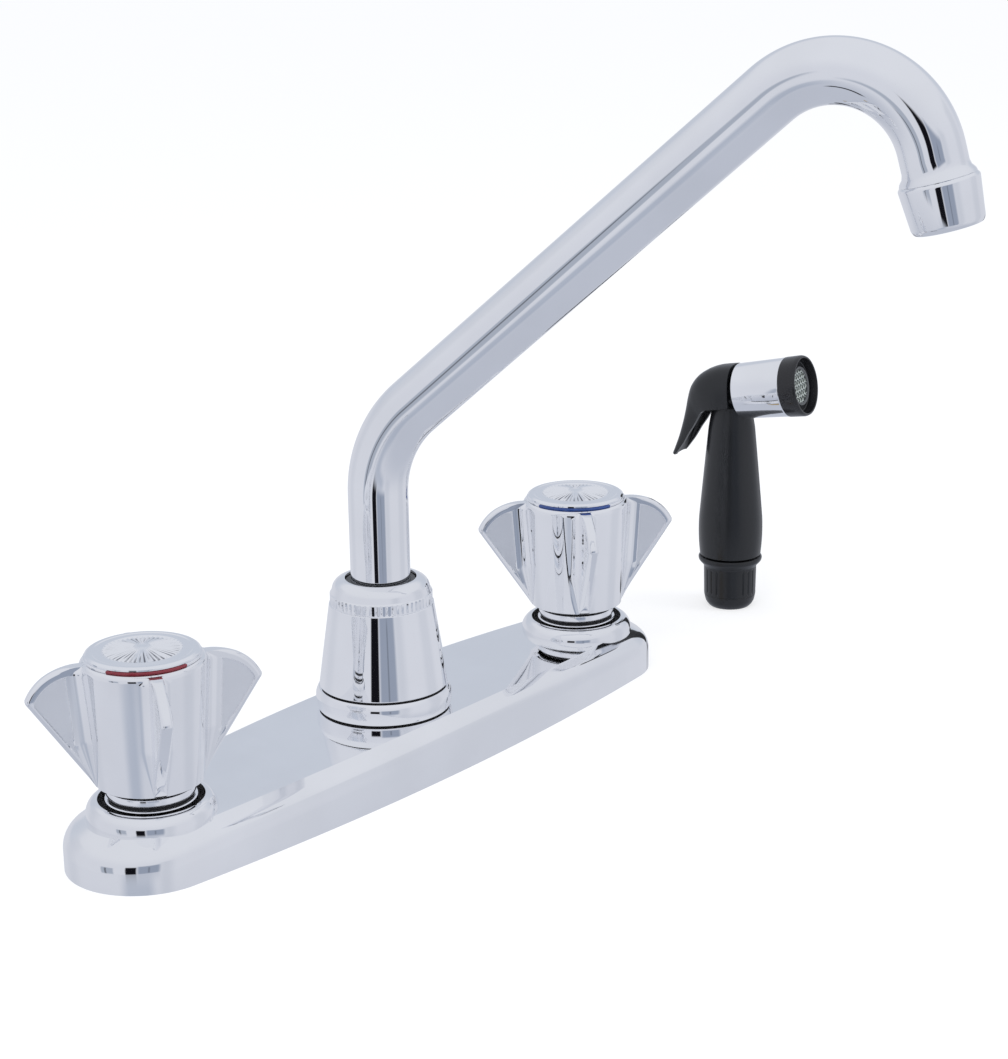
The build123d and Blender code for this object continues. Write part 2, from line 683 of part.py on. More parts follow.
with BuildPart() as spout_spigot:
    groove_r = spigot_r - 2 * spout_ring_wire
    turned(stand, (spigot_bore_r, spigot_bottom), (spigot_r, spigot_bottom), (spigot_r, trap_bottom),
           (trap_ring_r, trap_bottom), (trap_ring_r, trap_top), (tube_bore_r - slip, trap_top),
           (tube_bore_r - slip, trap_top + spigot_plug_h), (spigot_bore_r, trap_top + spigot_plug_h))
    for z in spout_ring_z:
        low, high = z - spout_ring_wire - ring_room, z + spout_ring_wire + ring_room
        turned(stand, (groove_r, low), (spigot_r + 1, low), (spigot_r + 1, high), (groove_r, high), mode=Mode.SUBTRACT)
save(spout_spigot, "spout_spigot")

with BuildPart() as spout_o_rings:
    for z in spout_ring_z:
        ring_of_wire(stand, groove_r + spout_ring_wire, z, spout_ring_wire)
save(spout_o_rings, "spout_o_rings")

with BuildPart() as spout_tube:
    knee_start = (0, knee_z - knee_back)
    rise = (math.sin(lean_in), math.cos(lean_in))
    hook_start = (hook_corner[0] - hook_back * rise[0], hook_corner[1] - hook_back * rise[1])
    hook_end = (hook_corner[0] + hook_back * math.sin(lean_out), hook_corner[1] + hook_back * math.cos(lean_out))
    flare_start = (outlet_at[0] - flare_h * math.sin(lean_out), outlet_at[1] - flare_h * math.cos(lean_out))
    with BuildLine(spout_plane) as spout_route:
        Line((0, trap_top), knee_start)
        JernArc(start=knee_start, tangent=(0, 1), radius=knee_r, arc_size=-knee_angle)
        Line((knee_back * rise[0], knee_z + knee_back * rise[1]), hook_start)
        JernArc(start=hook_start, tangent=rise, radius=hook_r, arc_size=-hook_angle)
        Line(hook_end, flare_start)
    with BuildSketch(level(0, 0, trap_top)):
        Circle(tube_r)
        Circle(tube_bore_r, mode=Mode.SUBTRACT)
    sweep(path=spout_route.wires()[0])
    turned(outlet, (tube_bore_r, -flare_h), (tube_r, -flare_h), (tube_r + flare_step, -0.6 * flare_h),
           (flare_r - flare_step, -0.25 * flare_h), (flare_r, 0), (thread_r, 0), (thread_r, thread_h),
           (tube_bore_r, thread_h))
save(spout_tube, "spout_tube")
route_length = spout_route.wires()[0].length
print("spout tube route", round(route_length, 1), "mm; reach", round(outlet_at[0], 1), "mm")

# ---------------------------------------------------------------- aerator
washer_seat = thread_h + slip
insert_top = washer_seat + outlet_washer_t
insert_end = insert_top + insert_h
with BuildPart() as aerator_shell:
    turned(outlet, (thread_r + slip, slip), (aerator_top_r - aerator_round, slip),
           (aerator_top_r, aerator_round), (aerator_bottom_r, aerator_h - aerator_round),
           (aerator_bottom_r - aerator_round, aerator_h), (outlet_r, aerator_h), (outlet_r, insert_end + slip),
           (insert_r + slip, insert_end + slip), (insert_r + slip, insert_top + insert_flange_h + slip),
           (thread_r + slip, insert_top + insert_flange_h + slip))
save(aerator_shell, "aerator_shell")

with BuildPart() as aerator_washer:
    turned(outlet, (outlet_washer_r, washer_seat), (thread_r, washer_seat), (thread_r, insert_top),
           (outlet_washer_r, insert_top))
save(aerator_washer, "aerator_washer")

with BuildPart() as aerator_insert:
    turned(outlet, (0, insert_top), (thread_r, insert_top), (thread_r, insert_top + insert_flange_h),
           (insert_r, insert_top + insert_flange_h), (insert_r, insert_end), (0, insert_end))
    screen_plane = Plane(origin=outlet.origin, x_dir=outlet.x_dir, z_dir=outlet.y_dir)
    with BuildSketch(screen_plane.offset(insert_top)):
        with HexLocations(insert_pitch / 2, 5, 5):
            Circle(insert_hole_r)
    extrude(amount=insert_h, mode=Mode.SUBTRACT)
save(aerator_insert, "aerator_insert")

# ---------------------------------------------------------------- sprayer
side_plane = upright(sprayer_x, sprayer_y, sprayer_heading)
tilt = math.radians(head_tilt)
head_way = side_plane.x_dir * math.cos(tilt) + side_plane.y_dir * math.sin(tilt)
head_up = side_plane.y_dir * math.cos(tilt) - side_plane.x_dir * math.sin(tilt)
head_origin = Vector(sprayer_x, sprayer_y, head_z)
head_turn = Plane(origin=head_origin, x_dir=head_up * -1, z_dir=side_plane.z_dir)   # own Y is the head's axis
head_side = Plane(origin=head_origin, x_dir=head_way, z_dir=side_plane.z_dir)       # own X is the head's axis
head_face = Plane(origin=head_origin, x_dir=side_plane.z_dir * -1, z_dir=head_way)  # square to the head's axis
head_top = Plane(origin=head_origin, x_dir=head_way, z_dir=head_up)                  # looking down on the head
flange_bottom = hose_nut_h
nut_head = hose_nut_h + hose_nut_flange_h
body_foot = nut_head + body_gap
washer_at = hose_bore_h
spigot_foot = washer_at + hose_washer_t
nozzle_start = band_start + band_length
nozzle_end = nozzle_start + nozzle_length
core_slope = (band_front_r - band_r) / band_length

with BuildPart() as sprayer_hose_nut:
    turned(side_plane, (hose_bore_r, 0), (hose_nut_foot_r - hose_nut_round, 0), (hose_nut_foot_r, hose_nut_round),
           (hose_nut_r, flange_bottom), (hose_nut_flange_r, flange_bottom + 0.8), (hose_nut_flange_r, nut_head - 0.5),
           (hose_nut_flange_r - 0.5, nut_head), (body_spigot_r + slip, nut_head), (body_spigot_r + slip, hose_bore_h),
           (hose_bore_r, hose_bore_h))
    with BuildSketch(level(sprayer_x, sprayer_y, hose_rib_bottom)):
        with PolarLocations(hose_nut_r, hose_rib_count):
            Rectangle(2 * hose_rib_w, hose_rib_w)
    extrude(amount=flange_bottom - hose_rib_bottom, mode=Mode.SUBTRACT)
save(sprayer_hose_nut, "sprayer_hose_nut")

with BuildPart() as sprayer_hose_washer:
    turned(side_plane, (hose_bore_r, washer_at), (body_spigot_r, washer_at), (body_spigot_r, spigot_foot),
           (hose_bore_r, spigot_foot))
save(sprayer_hose_washer, "sprayer_hose_washer")

with BuildPart() as sprayer_body:
    with BuildSketch(side_plane):
        with BuildLine():
            Polyline((0, head_z), (0, spigot_foot), (body_spigot_r, spigot_foot), (body_spigot_r, body_foot),
                     (body_foot_r, body_foot))
            ThreePointArc((body_foot_r, body_foot), (body_max_r, belly_z), (body_max_r - 0.05, belly_top_z))
            ThreePointArc((body_max_r - 0.05, belly_top_z), (waist_r, waist_z), (body_neck_r, neck_z))
            Polyline((body_neck_r, neck_z), (head_back_r + 0.5, head_z - 5), (0, head_z))
        make_face()
    revolve(axis=Axis(side_plane.origin, side_plane.y_dir))
    turned(head_turn, (0, head_back), (head_back_r - 2.5, head_back), (head_back_r, head_back + 2.5),
           (head_back_r, band_start), (head_core_r, band_start), (head_core_r, nozzle_start), (0, nozzle_start))
    turned(head_turn, (0, 0), (head_bore_r, 0), (head_bore_r, nozzle_start), (0, nozzle_start), mode=Mode.SUBTRACT)
    turned(side_plane, (0, spigot_foot), (spray_bore_r, spigot_foot), (spray_bore_r, head_z), (0, head_z),
           mode=Mode.SUBTRACT)
    with BuildSketch(head_side):
        with Locations((lever_pin_along, lever_pin_up)):
            Circle(lever_pin_r)
    extrude(amount=head_back_r + 1, both=True, mode=Mode.SUBTRACT)
    plunger_x = plunger_along * math.cos(math.radians(sprayer_heading)) + sprayer_x
    plunger_y = plunger_along * math.sin(math.radians(sprayer_heading)) + sprayer_y
    with BuildSketch(level(plunger_x, plunger_y, plunger_bottom - spring_length)):
        Circle(plunger_r + slip)
    extrude(amount=spring_length + head_z, mode=Mode.SUBTRACT)
save(sprayer_body, "sprayer_body")

with BuildPart() as sprayer_band:
    turned(head_turn, (head_core_r + slip, band_start), (band_r, band_start),
           (band_front_r, nozzle_start), (head_core_r + slip, nozzle_start))
    turned(side_plane, (0, neck_z - 5), (body_neck_r + gap, neck_z - 5), (body_neck_r + gap, head_z), (0, head_z),
           mode=Mode.SUBTRACT)
save(sprayer_band, "sprayer_band")

with BuildPart() as sprayer_nozzle_ring:
    turned(head_turn, (nozzle_hole_r, nozzle_start), (band_front_r, nozzle_start),
           (nozzle_r, nozzle_end - nozzle_round), (nozzle_r - nozzle_round, nozzle_end), (nozzle_mouth_r, nozzle_end),
           (nozzle_mouth_r - 0.4, nozzle_end - nozzle_mouth_deep), (nozzle_hole_r, nozzle_end - nozzle_mouth_deep))
save(sprayer_nozzle_ring, "sprayer_nozzle_ring")

with BuildPart() as sprayer_screen_ring:
    ring_front = nozzle_end - nozzle_mouth_deep + 0.6
    turned(head_turn, (screen_r, ring_front - screen_ring_h), (screen_ring_r, ring_front - screen_ring_h),
           (screen_ring_r, ring_front - 0.3), (screen_ring_r - 0.3, ring_front), (screen_r, ring_front))
save(sprayer_screen_ring, "sprayer_screen_ring")

with BuildPart() as sprayer_screen:
    with BuildSketch(head_face.offset(ring_front - screen_ring_h)):
        Circle(screen_r)
        reach = int(screen_r / screen_pitch) + 1
        spots = [(i * screen_pitch, j * screen_pitch) for i in range(-reach, reach + 1)
                 for j in range(-reach, reach + 1) if math.hypot(i, j) * screen_pitch < screen_r - 0.8 * screen_pitch]
        with Locations(*spots):
            Rectangle(screen_pitch - screen_wire, screen_pitch - screen_wire, mode=Mode.SUBTRACT)
    extrude(amount=screen_t)
save(sprayer_screen, "sprayer_screen")


def lever_profile(inset):
    """Side view of the hood lever in the head's plane, its outer curve drawn in by inset."""
    s = inset / math.sqrt(2)
    back = (lever_back[0] + inset * 0.9, lever_back[1] - inset * 0.4)
    tip = (lever_tip[0] + inset, lever_tip[1] - inset * 1.2)
    top = lever_top - inset
    front = lever_front + inset
    skirt = lever_skirt - 2 * inset
    lean = (lever_pin_up - skirt) * math.tan(math.radians(lever_travel))
    Polyline((front - lean, skirt), (front, lever_pin_up), (front, top), (lever_roof_from, top))
    ThreePointArc((lever_roof_from, top), (lever_hood_mid[0] + s, lever_hood_mid[1] - s), back)
    ThreePointArc(back, (lever_tail_mid[0] + inset, lever_tail_mid[1] - inset * 0.4), tip)
    Line(tip, (lever_tip_in[0] + 2 * inset, lever_tip_in[1] - 2 * inset))
    ThreePointArc((lever_tip_in[0] + 2 * inset, lever_tip_in[1] - 2 * inset),
                  (lever_under_mid[0] + 2 * inset, lever_under_mid[1] - 2 * inset),
                  (lever_under_end + 2 * inset, skirt))
    Line((lever_under_end + 2 * inset, skirt), (front - lean, skirt))


def lever_form(inset):
    """The lever's outer shape drawn in by inset: round over the head, narrowing to the tip."""
    width = lever_half_width - inset
    tip_width = lever_tip_half_width - inset
    low = lever_tip_in[1] - 2 * lever_wall
    with BuildPart() as form:
        with BuildSketch(head_side):
            with BuildLine():
                lever_profile(inset)
            make_face()
        extrude(amount=lever_half_width + 1, both=True)
        with BuildSketch(head_face.offset(2 * lever_tip[0])):
            with BuildLine():
                Polyline((-width, 0), (-width, lever_skirt), (-tip_width, low), (tip_width, low),
                         (width, lever_skirt), (width, 0))
                ThreePointArc((width, 0), (0, lever_top - inset), (-width, 0))
            make_face()
        extrude(amount=-4 * lever_tip[0], mode=Mode.INTERSECT)
        with BuildSketch(head_top.offset(2 * lever_tip_in[1])):
            with BuildLine():
                waist = (lever_back[0] - lever_waist_in, lever_tail_half_width - inset)
                hood = (lever_round_from, width)
                bulge = bulged(hood, waist, -lever_waist_bulge)
                Line((lever_front + lever_wall, -width), (lever_front + lever_wall, width))
                Line((lever_front + lever_wall, width), hood)
                ThreePointArc(hood, bulge, waist)
                Polyline(waist, (lever_tip[0] - 1, tip_width), (lever_tip[0] - 1, -tip_width), (waist[0], -waist[1]))
                ThreePointArc((waist[0], -waist[1]), (bulge[0], -bulge[1]), (hood[0], -hood[1]))
                Line((hood[0], -hood[1]), (lever_front + lever_wall, -width))
            make_face()
        extrude(amount=-4 * lever_tip_in[1], mode=Mode.INTERSECT)
    return form.part


with BuildPart() as sprayer_lever:
    add(lever_form(0.0))
    add(lever_form(lever_wall), mode=Mode.SUBTRACT)
    with BuildSketch(head_side):
        with Locations((lever_pin_along, lever_pin_up)):
            Circle(lever_pin_r + slip)
    extrude(amount=lever_half_width - lever_wall / 2, both=True, mode=Mode.SUBTRACT)
save(sprayer_lever, "sprayer_lever")

with BuildPart() as sprayer_lever_pin:
    with BuildSketch(head_side):
        with Locations((lever_pin_along, lever_pin_up)):
            Circle(lever_pin_r)
    extrude(amount=lever_half_width - lever_wall / 2 - 0.1, both=True)
save(sprayer_lever_pin, "sprayer_lever_pin")

roof = lever_top - lever_wall - plunger_top_room - plunger_r * math.tan(tilt)
roof_along = (plunger_along + roof * math.sin(tilt)) / math.cos(tilt)
plunger_top = head_z + roof * math.cos(tilt) + roof_along * math.sin(tilt)
plunger_plane = upright(plunger_x, plunger_y)
with BuildPart() as sprayer_plunger:
    turned(plunger_plane, (0, plunger_bottom), (plunger_r, plunger_bottom), (plunger_r, plunger_top - 0.8),
           (plunger_r - 0.8, plunger_top), (0, plunger_top))
save(sprayer_plunger, "sprayer_plunger")
lever_arm = lever_pin_along - roof_along
print("plunger top", round(plunger_top, 2), "ratio", round(lever_arm, 3), "mm per radian")

with BuildPart() as sprayer_spring:
    spring_foot = plunger_bottom - spring_length + spring_wire
    with BuildLine(level(plunger_x, plunger_y, spring_foot)) as coil:
        Helix(pitch=(spring_length - 2 * spring_wire) / spring_turns, height=spring_length - 2 * spring_wire,
              radius=spring_r)
    with BuildSketch(Plane(origin=coil.edges()[0] @ 0, z_dir=coil.edges()[0] % 0)):
        Circle(spring_wire)
    sweep(path=coil.edges()[0], is_frenet=True)
save(sprayer_spring, "sprayer_spring")
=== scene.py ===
# %% [markdown]
# # A two handle kitchen faucet
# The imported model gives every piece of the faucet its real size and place. This script dresses it: it
# models again, finely enough for a mirror finish, each piece that shows, gives the hidden valve pieces
# their metals and rubbers, and lights the whole like a small product shot.

# %% Load the frame
import json
import math

import bmesh
import bpy
from mathutils import Matrix, Vector


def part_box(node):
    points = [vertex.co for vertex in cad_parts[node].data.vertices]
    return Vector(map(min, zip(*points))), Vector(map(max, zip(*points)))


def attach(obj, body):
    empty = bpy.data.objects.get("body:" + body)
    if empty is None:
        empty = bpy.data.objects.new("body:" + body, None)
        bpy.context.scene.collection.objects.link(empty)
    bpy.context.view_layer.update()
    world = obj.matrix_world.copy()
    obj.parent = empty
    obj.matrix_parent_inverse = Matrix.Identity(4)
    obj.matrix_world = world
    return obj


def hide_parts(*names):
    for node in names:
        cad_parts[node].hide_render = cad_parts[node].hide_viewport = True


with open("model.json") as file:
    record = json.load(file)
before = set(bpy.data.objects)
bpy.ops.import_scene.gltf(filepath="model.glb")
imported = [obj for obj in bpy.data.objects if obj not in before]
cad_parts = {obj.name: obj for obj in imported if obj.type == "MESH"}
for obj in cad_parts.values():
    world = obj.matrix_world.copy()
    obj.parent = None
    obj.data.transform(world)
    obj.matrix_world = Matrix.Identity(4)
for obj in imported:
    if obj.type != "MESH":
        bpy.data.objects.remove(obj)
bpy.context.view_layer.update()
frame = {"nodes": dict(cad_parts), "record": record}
mm = 0.001
up = Vector((0, 0, 1))

# %% [markdown]
# ## The camera
# The picture is taken from the hot side, a little above the spout's stand. The camera is built from
# three angles, so that its frame of right, up and forward is exact, and the lens from its field of view.

# %% Camera
image_width, image_height = 1008, 1059
camera_at = Vector((-538.3, -493.1, 294.6)) * mm
camera_yaw = math.radians(50.77)       # from +Y towards +X
camera_pitch = math.radians(16.96)     # downwards
camera_roll = math.radians(-0.82)
focal_pixels = 2409.2
optical_centre = (510.8, 538.5)

forward = Vector((math.sin(camera_yaw) * math.cos(camera_pitch),
                  math.cos(camera_yaw) * math.cos(camera_pitch), -math.sin(camera_pitch)))
level_right = Vector((math.cos(camera_yaw), -math.sin(camera_yaw), 0))
turn = Matrix.Rotation(camera_roll, 3, -forward)
right = turn @ level_right
camera_data = bpy.data.cameras.new("photo_camera")
camera_data.sensor_width = 36.0
camera_data.lens = camera_data.sensor_width * focal_pixels / image_height
camera_data.shift_x = (image_width / 2 - optical_centre[0]) / image_height
camera_data.shift_y = (optical_centre[1] - image_height / 2) / image_height
camera_data.clip_end = 20
camera = bpy.data.objects.new("photo_camera", camera_data)
bpy.context.scene.collection.objects.link(camera)
camera.matrix_world = Matrix((right, right.cross(forward), -forward)).transposed().to_4x4()
camera.matrix_world.translation = camera_at
bpy.context.scene.camera = camera
print("lens", round(camera_data.lens, 1), "mm")

# %% [markdown]
# ## Shader sums as Python
# `Number` wraps a socket that varies over a surface. Arithmetic on it adds Math nodes, so a finish reads
# like a formula. `Nodes.add` makes every other node: its settings come first, then its sockets.

# %% Node helpers
class Number:
    """A value that varies over a surface."""

    def __init__(self, nodes, socket):
        self.nodes = nodes
        self.socket = socket

    def _with(self, operation, *values):
        return self.nodes.add("ShaderNodeMath", {"operation": operation}, *values)

    def __add__(self, other):
        return self._with("ADD", self, other)

    def __radd__(self, other):
        return self._with("ADD", other, self)

    def __sub__(self, other):
        return self._with("SUBTRACT", self, other)

    def __rsub__(self, other):
        return self._with("SUBTRACT", other, self)

    def __mul__(self, other):
        return self._with("MULTIPLY", self, other)

    def __rmul__(self, other):
        return self._with("MULTIPLY", other, self)

    def __truediv__(self, other):
        return self._with("DIVIDE", self, other)

    def atan2(self, other):
        return self._with("ARCTAN2", self, other)

    def apply(self, operation):
        """A sum on this number alone, such as COSINE or SQRT."""
        return self._with(operation, self)

    def step(self, start, end):
        """0 before start, 1 after end, smooth between them."""
        return self.nodes.add("ShaderNodeMapRange", {"interpolation_type": "SMOOTHSTEP", "clamp": True},
                              Value=self, **{"From Min": start, "From Max": end})

    def band(self, low, high, soft):
        """1 between low and high, fading out over soft on both sides."""
        return self.step(low - soft, low + soft) * (1 - self.step(high - soft, high + soft))


class Nodes:
    """One method makes any node of a tree."""

    def __init__(self, tree):
        self.tree = tree
        tree.nodes.clear()

    def add(self, kind, settings=None, *values, **sockets):
        node = self.tree.nodes.new(kind)
        for name, value in (settings or {}).items():
            setattr(node, name, value)
        for place, value in list(enumerate(values)) + list(sockets.items()):
            self._feed(node.inputs[place], value)
        return Number(self, node.outputs[0]) if len(node.outputs) else node

    def output(self, kind, name):
        """One named output of a node that has no inputs, such as Texture Coordinate."""
        return Number(self, self.tree.nodes.new(kind).outputs[name])

    def parts(self, vector):
        """The x, y and z of a vector."""
        split = self.add("ShaderNodeSeparateXYZ", None, vector).socket.node
        return tuple(Number(self, part) for part in split.outputs)

    def _feed(self, socket, value):
        if isinstance(value, Number):
            self.tree.links.new(value.socket, socket)
        elif isinstance(value, tuple) and socket.type == "RGBA":
            socket.default_value = (*value, 1)
        else:
            socket.default_value = value

    def mix(self, share, first, second):
        """Colour `first` where share is 0, `second` where it is 1."""
        node = self.tree.nodes.new("ShaderNodeMix")
        node.data_type = "RGBA"
        for socket, value in ((node.inputs[0], share), (node.inputs[6], first), (node.inputs[7], second)):
            self._feed(socket, value)
        return Number(self, node.outputs[2])

    def surface(self, **settings):
        """A principled shader as the whole surface."""
        self.add("ShaderNodeOutputMaterial", None, self.add("ShaderNodeBsdfPrincipled", None, **settings))


def new_material(name):
    """A material with an empty tree, and the maker of its nodes."""
    material = bpy.data.materials.new(name)
    material.use_nodes = True
    return material, Nodes(material.node_tree)


# %% [markdown]
# ## The room
# Chrome has no colour of its own: it shows the room. The room here is a pale tent with a few tall strips
# in it, the gaps and dark cards that give plated metal its thin lines. A photographed room could light it
# too, but a few strips can be placed one by one. They are written as angles round the upright from the
# camera's own direction, so they stay in the room when the view moves. The camera itself sees plain white.

# %% World
tent_pale = (0.66, 0.68, 0.745)
tent_top = (0.71, 0.73, 0.785)
tent_low = (0.50, 0.53, 0.61)
tent_behind = (0.56, 0.60, 0.68)
strip_grey = (0.36, 0.40, 0.48)
strip_blue = (0.20, 0.245, 0.34)
strip_low = (0.33, 0.38, 0.48)
card_black = (0.006, 0.006, 0.009)
thin_strip, thin_edge, wide_edge = 0.05, 0.008, 0.045
degree = math.pi / 180
# round the upright, from and to, in degrees; height, from and to; softness at the sides; tone; strength
strips = ((-55, -37, -0.33, 0.06, 1.5, strip_grey, 0.9),
          (-3, 27, -0.35, 0.2, 3.0, strip_blue, 0.8),
          (27, 45, -0.5, 0.3, 8.0, strip_grey, 0.25),
          (86, 112, -0.6, 0.5, 8.0, strip_grey, 0.2),
          (-128, -104, -0.6, 0.5, 10.0, strip_grey, 0.15),
          (-20, -5, -0.36, 0.15, 1.2, card_black, 1.0),
          (-24, 18, -0.47, -0.365, 9.0, strip_low, 0.6),
          (-36, -10, -0.64, -0.45, 9.0, strip_low, 0.6),
          (-50, -47, -0.33, 0.03, 0.7, card_black, 0.6),
          (148, 156, -0.33, -0.16, 1.0, card_black, 0.8),
          (11, 13.5, -0.3, 0.1, 1.0, card_black, 0.35),
          (-66, -40, -0.75, -0.71, 3.0, card_black, 0.95))


def make_world():
    world = bpy.data.worlds.new("pale_tent")
    world.use_nodes = True
    make = Nodes(world.node_tree)
    x, y, z = make.parts(make.output("ShaderNodeTexCoord", "Generated"))
    to_camera = Vector((-forward.x, -forward.y)).normalized()
    ahead = x * to_camera.x + y * to_camera.y
    across = x * level_right.x + y * level_right.y
    angle = across.atan2(ahead) / degree
    colour = make.mix(z.step(0.15, 0.75), tent_pale, tent_top)
    colour = make.mix(1 - z.step(-0.75, -0.3), colour, tent_low)
    behind = (0 - ahead).step(0.35, 0.85) * z.band(0.12, 0.5, 0.1)
    colour = make.mix(behind * 0.95, colour, tent_behind)
    for low, high, bottom, top, soft, tone, strength in strips:
        edge = thin_edge if top - bottom < thin_strip else wide_edge
        patch = angle.band(low, high, soft) * z.band(bottom, top, edge) * strength
        colour = make.mix(patch, colour, tone)
    colour = make.mix(make.output("ShaderNodeLightPath", "Is Camera Ray"), colour, (1.0, 1.0, 1.0))
    shine = make.add("ShaderNodeBackground", None, colour, Strength=1.0)
    make.add("ShaderNodeOutputWorld", None, shine)
    bpy.context.scene.world = world


make_world()
print("world:", len(strips), "strips in the tent")

# %% [markdown]
# ## Lamps and floor
# A large soft lamp from the upper left and a smaller one from the right model the black plastic. They
# stay out of the reflections, which the tent alone gives. The floor is white to the camera and keeps a faint
# shadow. To a reflection it is clear, so that the plated pieces see the tent all round, as they do on a
# glass table.

# %% Lamps and floor
def soft_lamp(name, at, aim, size, power):
    lamp = bpy.data.lights.new(name, "AREA")
    lamp.shape = "RECTANGLE"
    lamp.size, lamp.size_y = size
    lamp.energy = power
    holder = bpy.data.objects.new(name, lamp)
    bpy.context.scene.collection.objects.link(holder)
    holder.location = at
    holder.rotation_euler = (Vector(aim) - Vector(at)).to_track_quat("-Z", "Y").to_euler()
    holder.visible_glossy = False


soft_lamp("key_lamp", (-0.9, -0.35, 1.2), (0, 0, 0.05), (0.7, 0.7), 5.0)
soft_lamp("fill_lamp", (0.7, -1.1, 0.7), (0.05, 0, 0.05), (0.6, 0.6), 4.0)

floor_reach = 6.0
floor_glow = 0.62


def make_floor():
    bm = bmesh.new()
    bmesh.ops.create_grid(bm, x_segments=1, y_segments=1, size=floor_reach)
    mesh = bpy.data.meshes.new("floor")
    bm.to_mesh(mesh)
    bm.free()
    floor = bpy.data.objects.new("floor", mesh)
    bpy.context.scene.collection.objects.link(floor)
    white, make = new_material("floor_white")
    matt = make.add("ShaderNodeBsdfDiffuse", None, (0.5, 0.5, 0.5))
    glow = make.add("ShaderNodeEmission", None, (1.0, 1.0, 1.0), Strength=floor_glow)
    both = make.add("ShaderNodeAddShader", None, matt, glow)
    clear = make.add("ShaderNodeBsdfTransparent")
    mirrored = make.output("ShaderNodeLightPath", "Is Glossy Ray")
    surface = make.add("ShaderNodeMixShader", None, mirrored, both, clear)
    make.add("ShaderNodeOutputMaterial", None, surface)
    mesh.materials.append(white)


make_floor()

# %% [markdown]
# ## Finishes
# Plated metal gets a roughness that changes slowly over the surface and a very fine waviness, as real
# plating has. Moulded plastic gets a finer grain and a softer sheen. All patterns read the piece's own
# Object coordinates, so they hold still when a joint moves.

# %% Finishes
def finish(name, base, metallic, roughness, grain=900.0, grain_depth=0.0, spread=0.0, patch=35.0, tint=0.0,
           coat=0.0, stretch=(1, 1, 1)):
    """A surface whose roughness and tone drift in patches, with a fine grain in the roughness, and as bump
    when grain_depth is given.
    """
    material, make = new_material(name)
    place = make.add("ShaderNodeMapping", None, make.output("ShaderNodeTexCoord", "Object"), Scale=stretch)
    drift = make.add("ShaderNodeTexNoise", None, place, Scale=patch, Detail=3.0, Roughness=0.55)
    fine = make.add("ShaderNodeTexNoise", None, place, Scale=grain, Detail=2.0)
    dull = tuple(0.72 * c for c in base)
    settings = {"Base Color": make.mix(drift.step(0.35, 0.65) * tint, base, dull),
                "Roughness": roughness + (drift - 0.5) * spread + (fine - 0.5) * spread * 0.4,
                "Metallic": metallic, "Coat Weight": coat}
    if grain_depth > 0.0:
        bump = make.add("ShaderNodeBump", None, Strength=0.4, Distance=grain_depth, Height=fine)
        settings["Normal"] = bump
    make.surface(**settings)
    return material


chrome = finish("plated_chrome", (0.95, 0.955, 0.97), 1.0, 0.035, spread=0.03, patch=30.0, tint=0.12)
satin_chrome = finish("satin_chrome", (0.96, 0.965, 0.98), 1.0, 0.42, grain=5000.0, grain_depth=0.00002,
                      spread=0.1, tint=0.15)
star_chrome = finish("star_chrome", (0.93, 0.94, 0.96), 1.0, 0.08, spread=0.05, tint=0.1)
brass = finish("turned_brass", (0.72, 0.53, 0.25), 1.0, 0.28, grain=2500.0, grain_depth=0.00002,
               spread=0.15, tint=0.4)
copper = finish("drawn_copper", (0.72, 0.38, 0.24), 1.0, 0.3, spread=0.15, tint=0.5, stretch=(0.2, 1, 1))
steel = finish("bright_steel", (0.60, 0.61, 0.63), 1.0, 0.25, grain=3000.0, grain_depth=0.00002,
               spread=0.15, tint=0.3)
screen_steel = finish("screen_steel", (0.75, 0.80, 0.74), 1.0, 0.4, spread=0.1, tint=0.2)
# dark rubber for the seals, also laid on the base ring's two gaps as painted shade
rubber_and_painted_gap_shade = finish("seal_rubber_and_painted_gap_shade", (0.010, 0.009, 0.009), 0.0, 0.7, grain=2500.0, grain_depth=0.00003,
                     spread=0.15, tint=0.2)
black_plastic = finish("black_plastic", (0.009, 0.010, 0.012), 0.0, 0.3, grain=4200.0, grain_depth=0.00004,
                       spread=0.1, tint=0.25)
black_gloss = finish("black_gloss", (0.012, 0.012, 0.014), 0.0, 0.2, spread=0.06, tint=0.2)
grey_plastic = finish("grey_plastic", (0.42, 0.43, 0.45), 0.0, 0.45, grain=2500.0, grain_depth=0.00003,
                      spread=0.1, tint=0.2)
holder_grey = finish("holder_grey", (0.10, 0.105, 0.11), 0.0, 0.35, spread=0.06, tint=0.2)
red_enamel = finish("red_enamel", (0.22, 0.012, 0.025), 0.0, 0.25, spread=0.05, tint=0.15, coat=0.5)
blue_enamel = finish("blue_enamel", (0.015, 0.06, 0.26), 0.0, 0.25, spread=0.05, tint=0.15, coat=0.5)
print("finishes:", len(bpy.data.materials))

# %% [markdown]
# ## Turning and finishing a mesh
# Most of a faucet is turned work, so most pieces are a section spun round an axis. A corner of the
# section is rounded before the spin, with a vertex bevel. `make_piece` joins doubled points, smooths the
# mesh but keeps its true corners sharp, hands it to the body it moves with, and counts its open edges.

# %% Modelling helpers
weld_distance = 1e-6


def section(*corners):
    """A drawn outline in the XZ plane: (radius, height) or (radius, height, rounding), in millimetres."""
    bm = bmesh.new()
    points = [bm.verts.new((corner[0] * mm, 0, corner[1] * mm)) for corner in corners]
    for first, second in zip(points, points[1:] + points[:1]):
        bm.edges.new((first, second))
    for point, corner in zip(points, corners):
        if len(corner) > 2:
            bmesh.ops.bevel(bm, geom=[point], offset=corner[2] * mm, offset_type="OFFSET", segments=5,
                            profile=0.5, affect="VERTICES", material=-1)
    return bm


def spin_round(bm, steps=120):
    """Turn the whole outline once round the Z axis."""
    bmesh.ops.spin(bm, geom=bm.verts[:] + bm.edges[:], cent=(0, 0, 0), axis=up, dvec=(0, 0, 0),
                   angle=2 * math.pi, steps=steps, use_merge=True)
    bmesh.ops.remove_doubles(bm, verts=bm.verts, dist=weld_distance)
    return bm


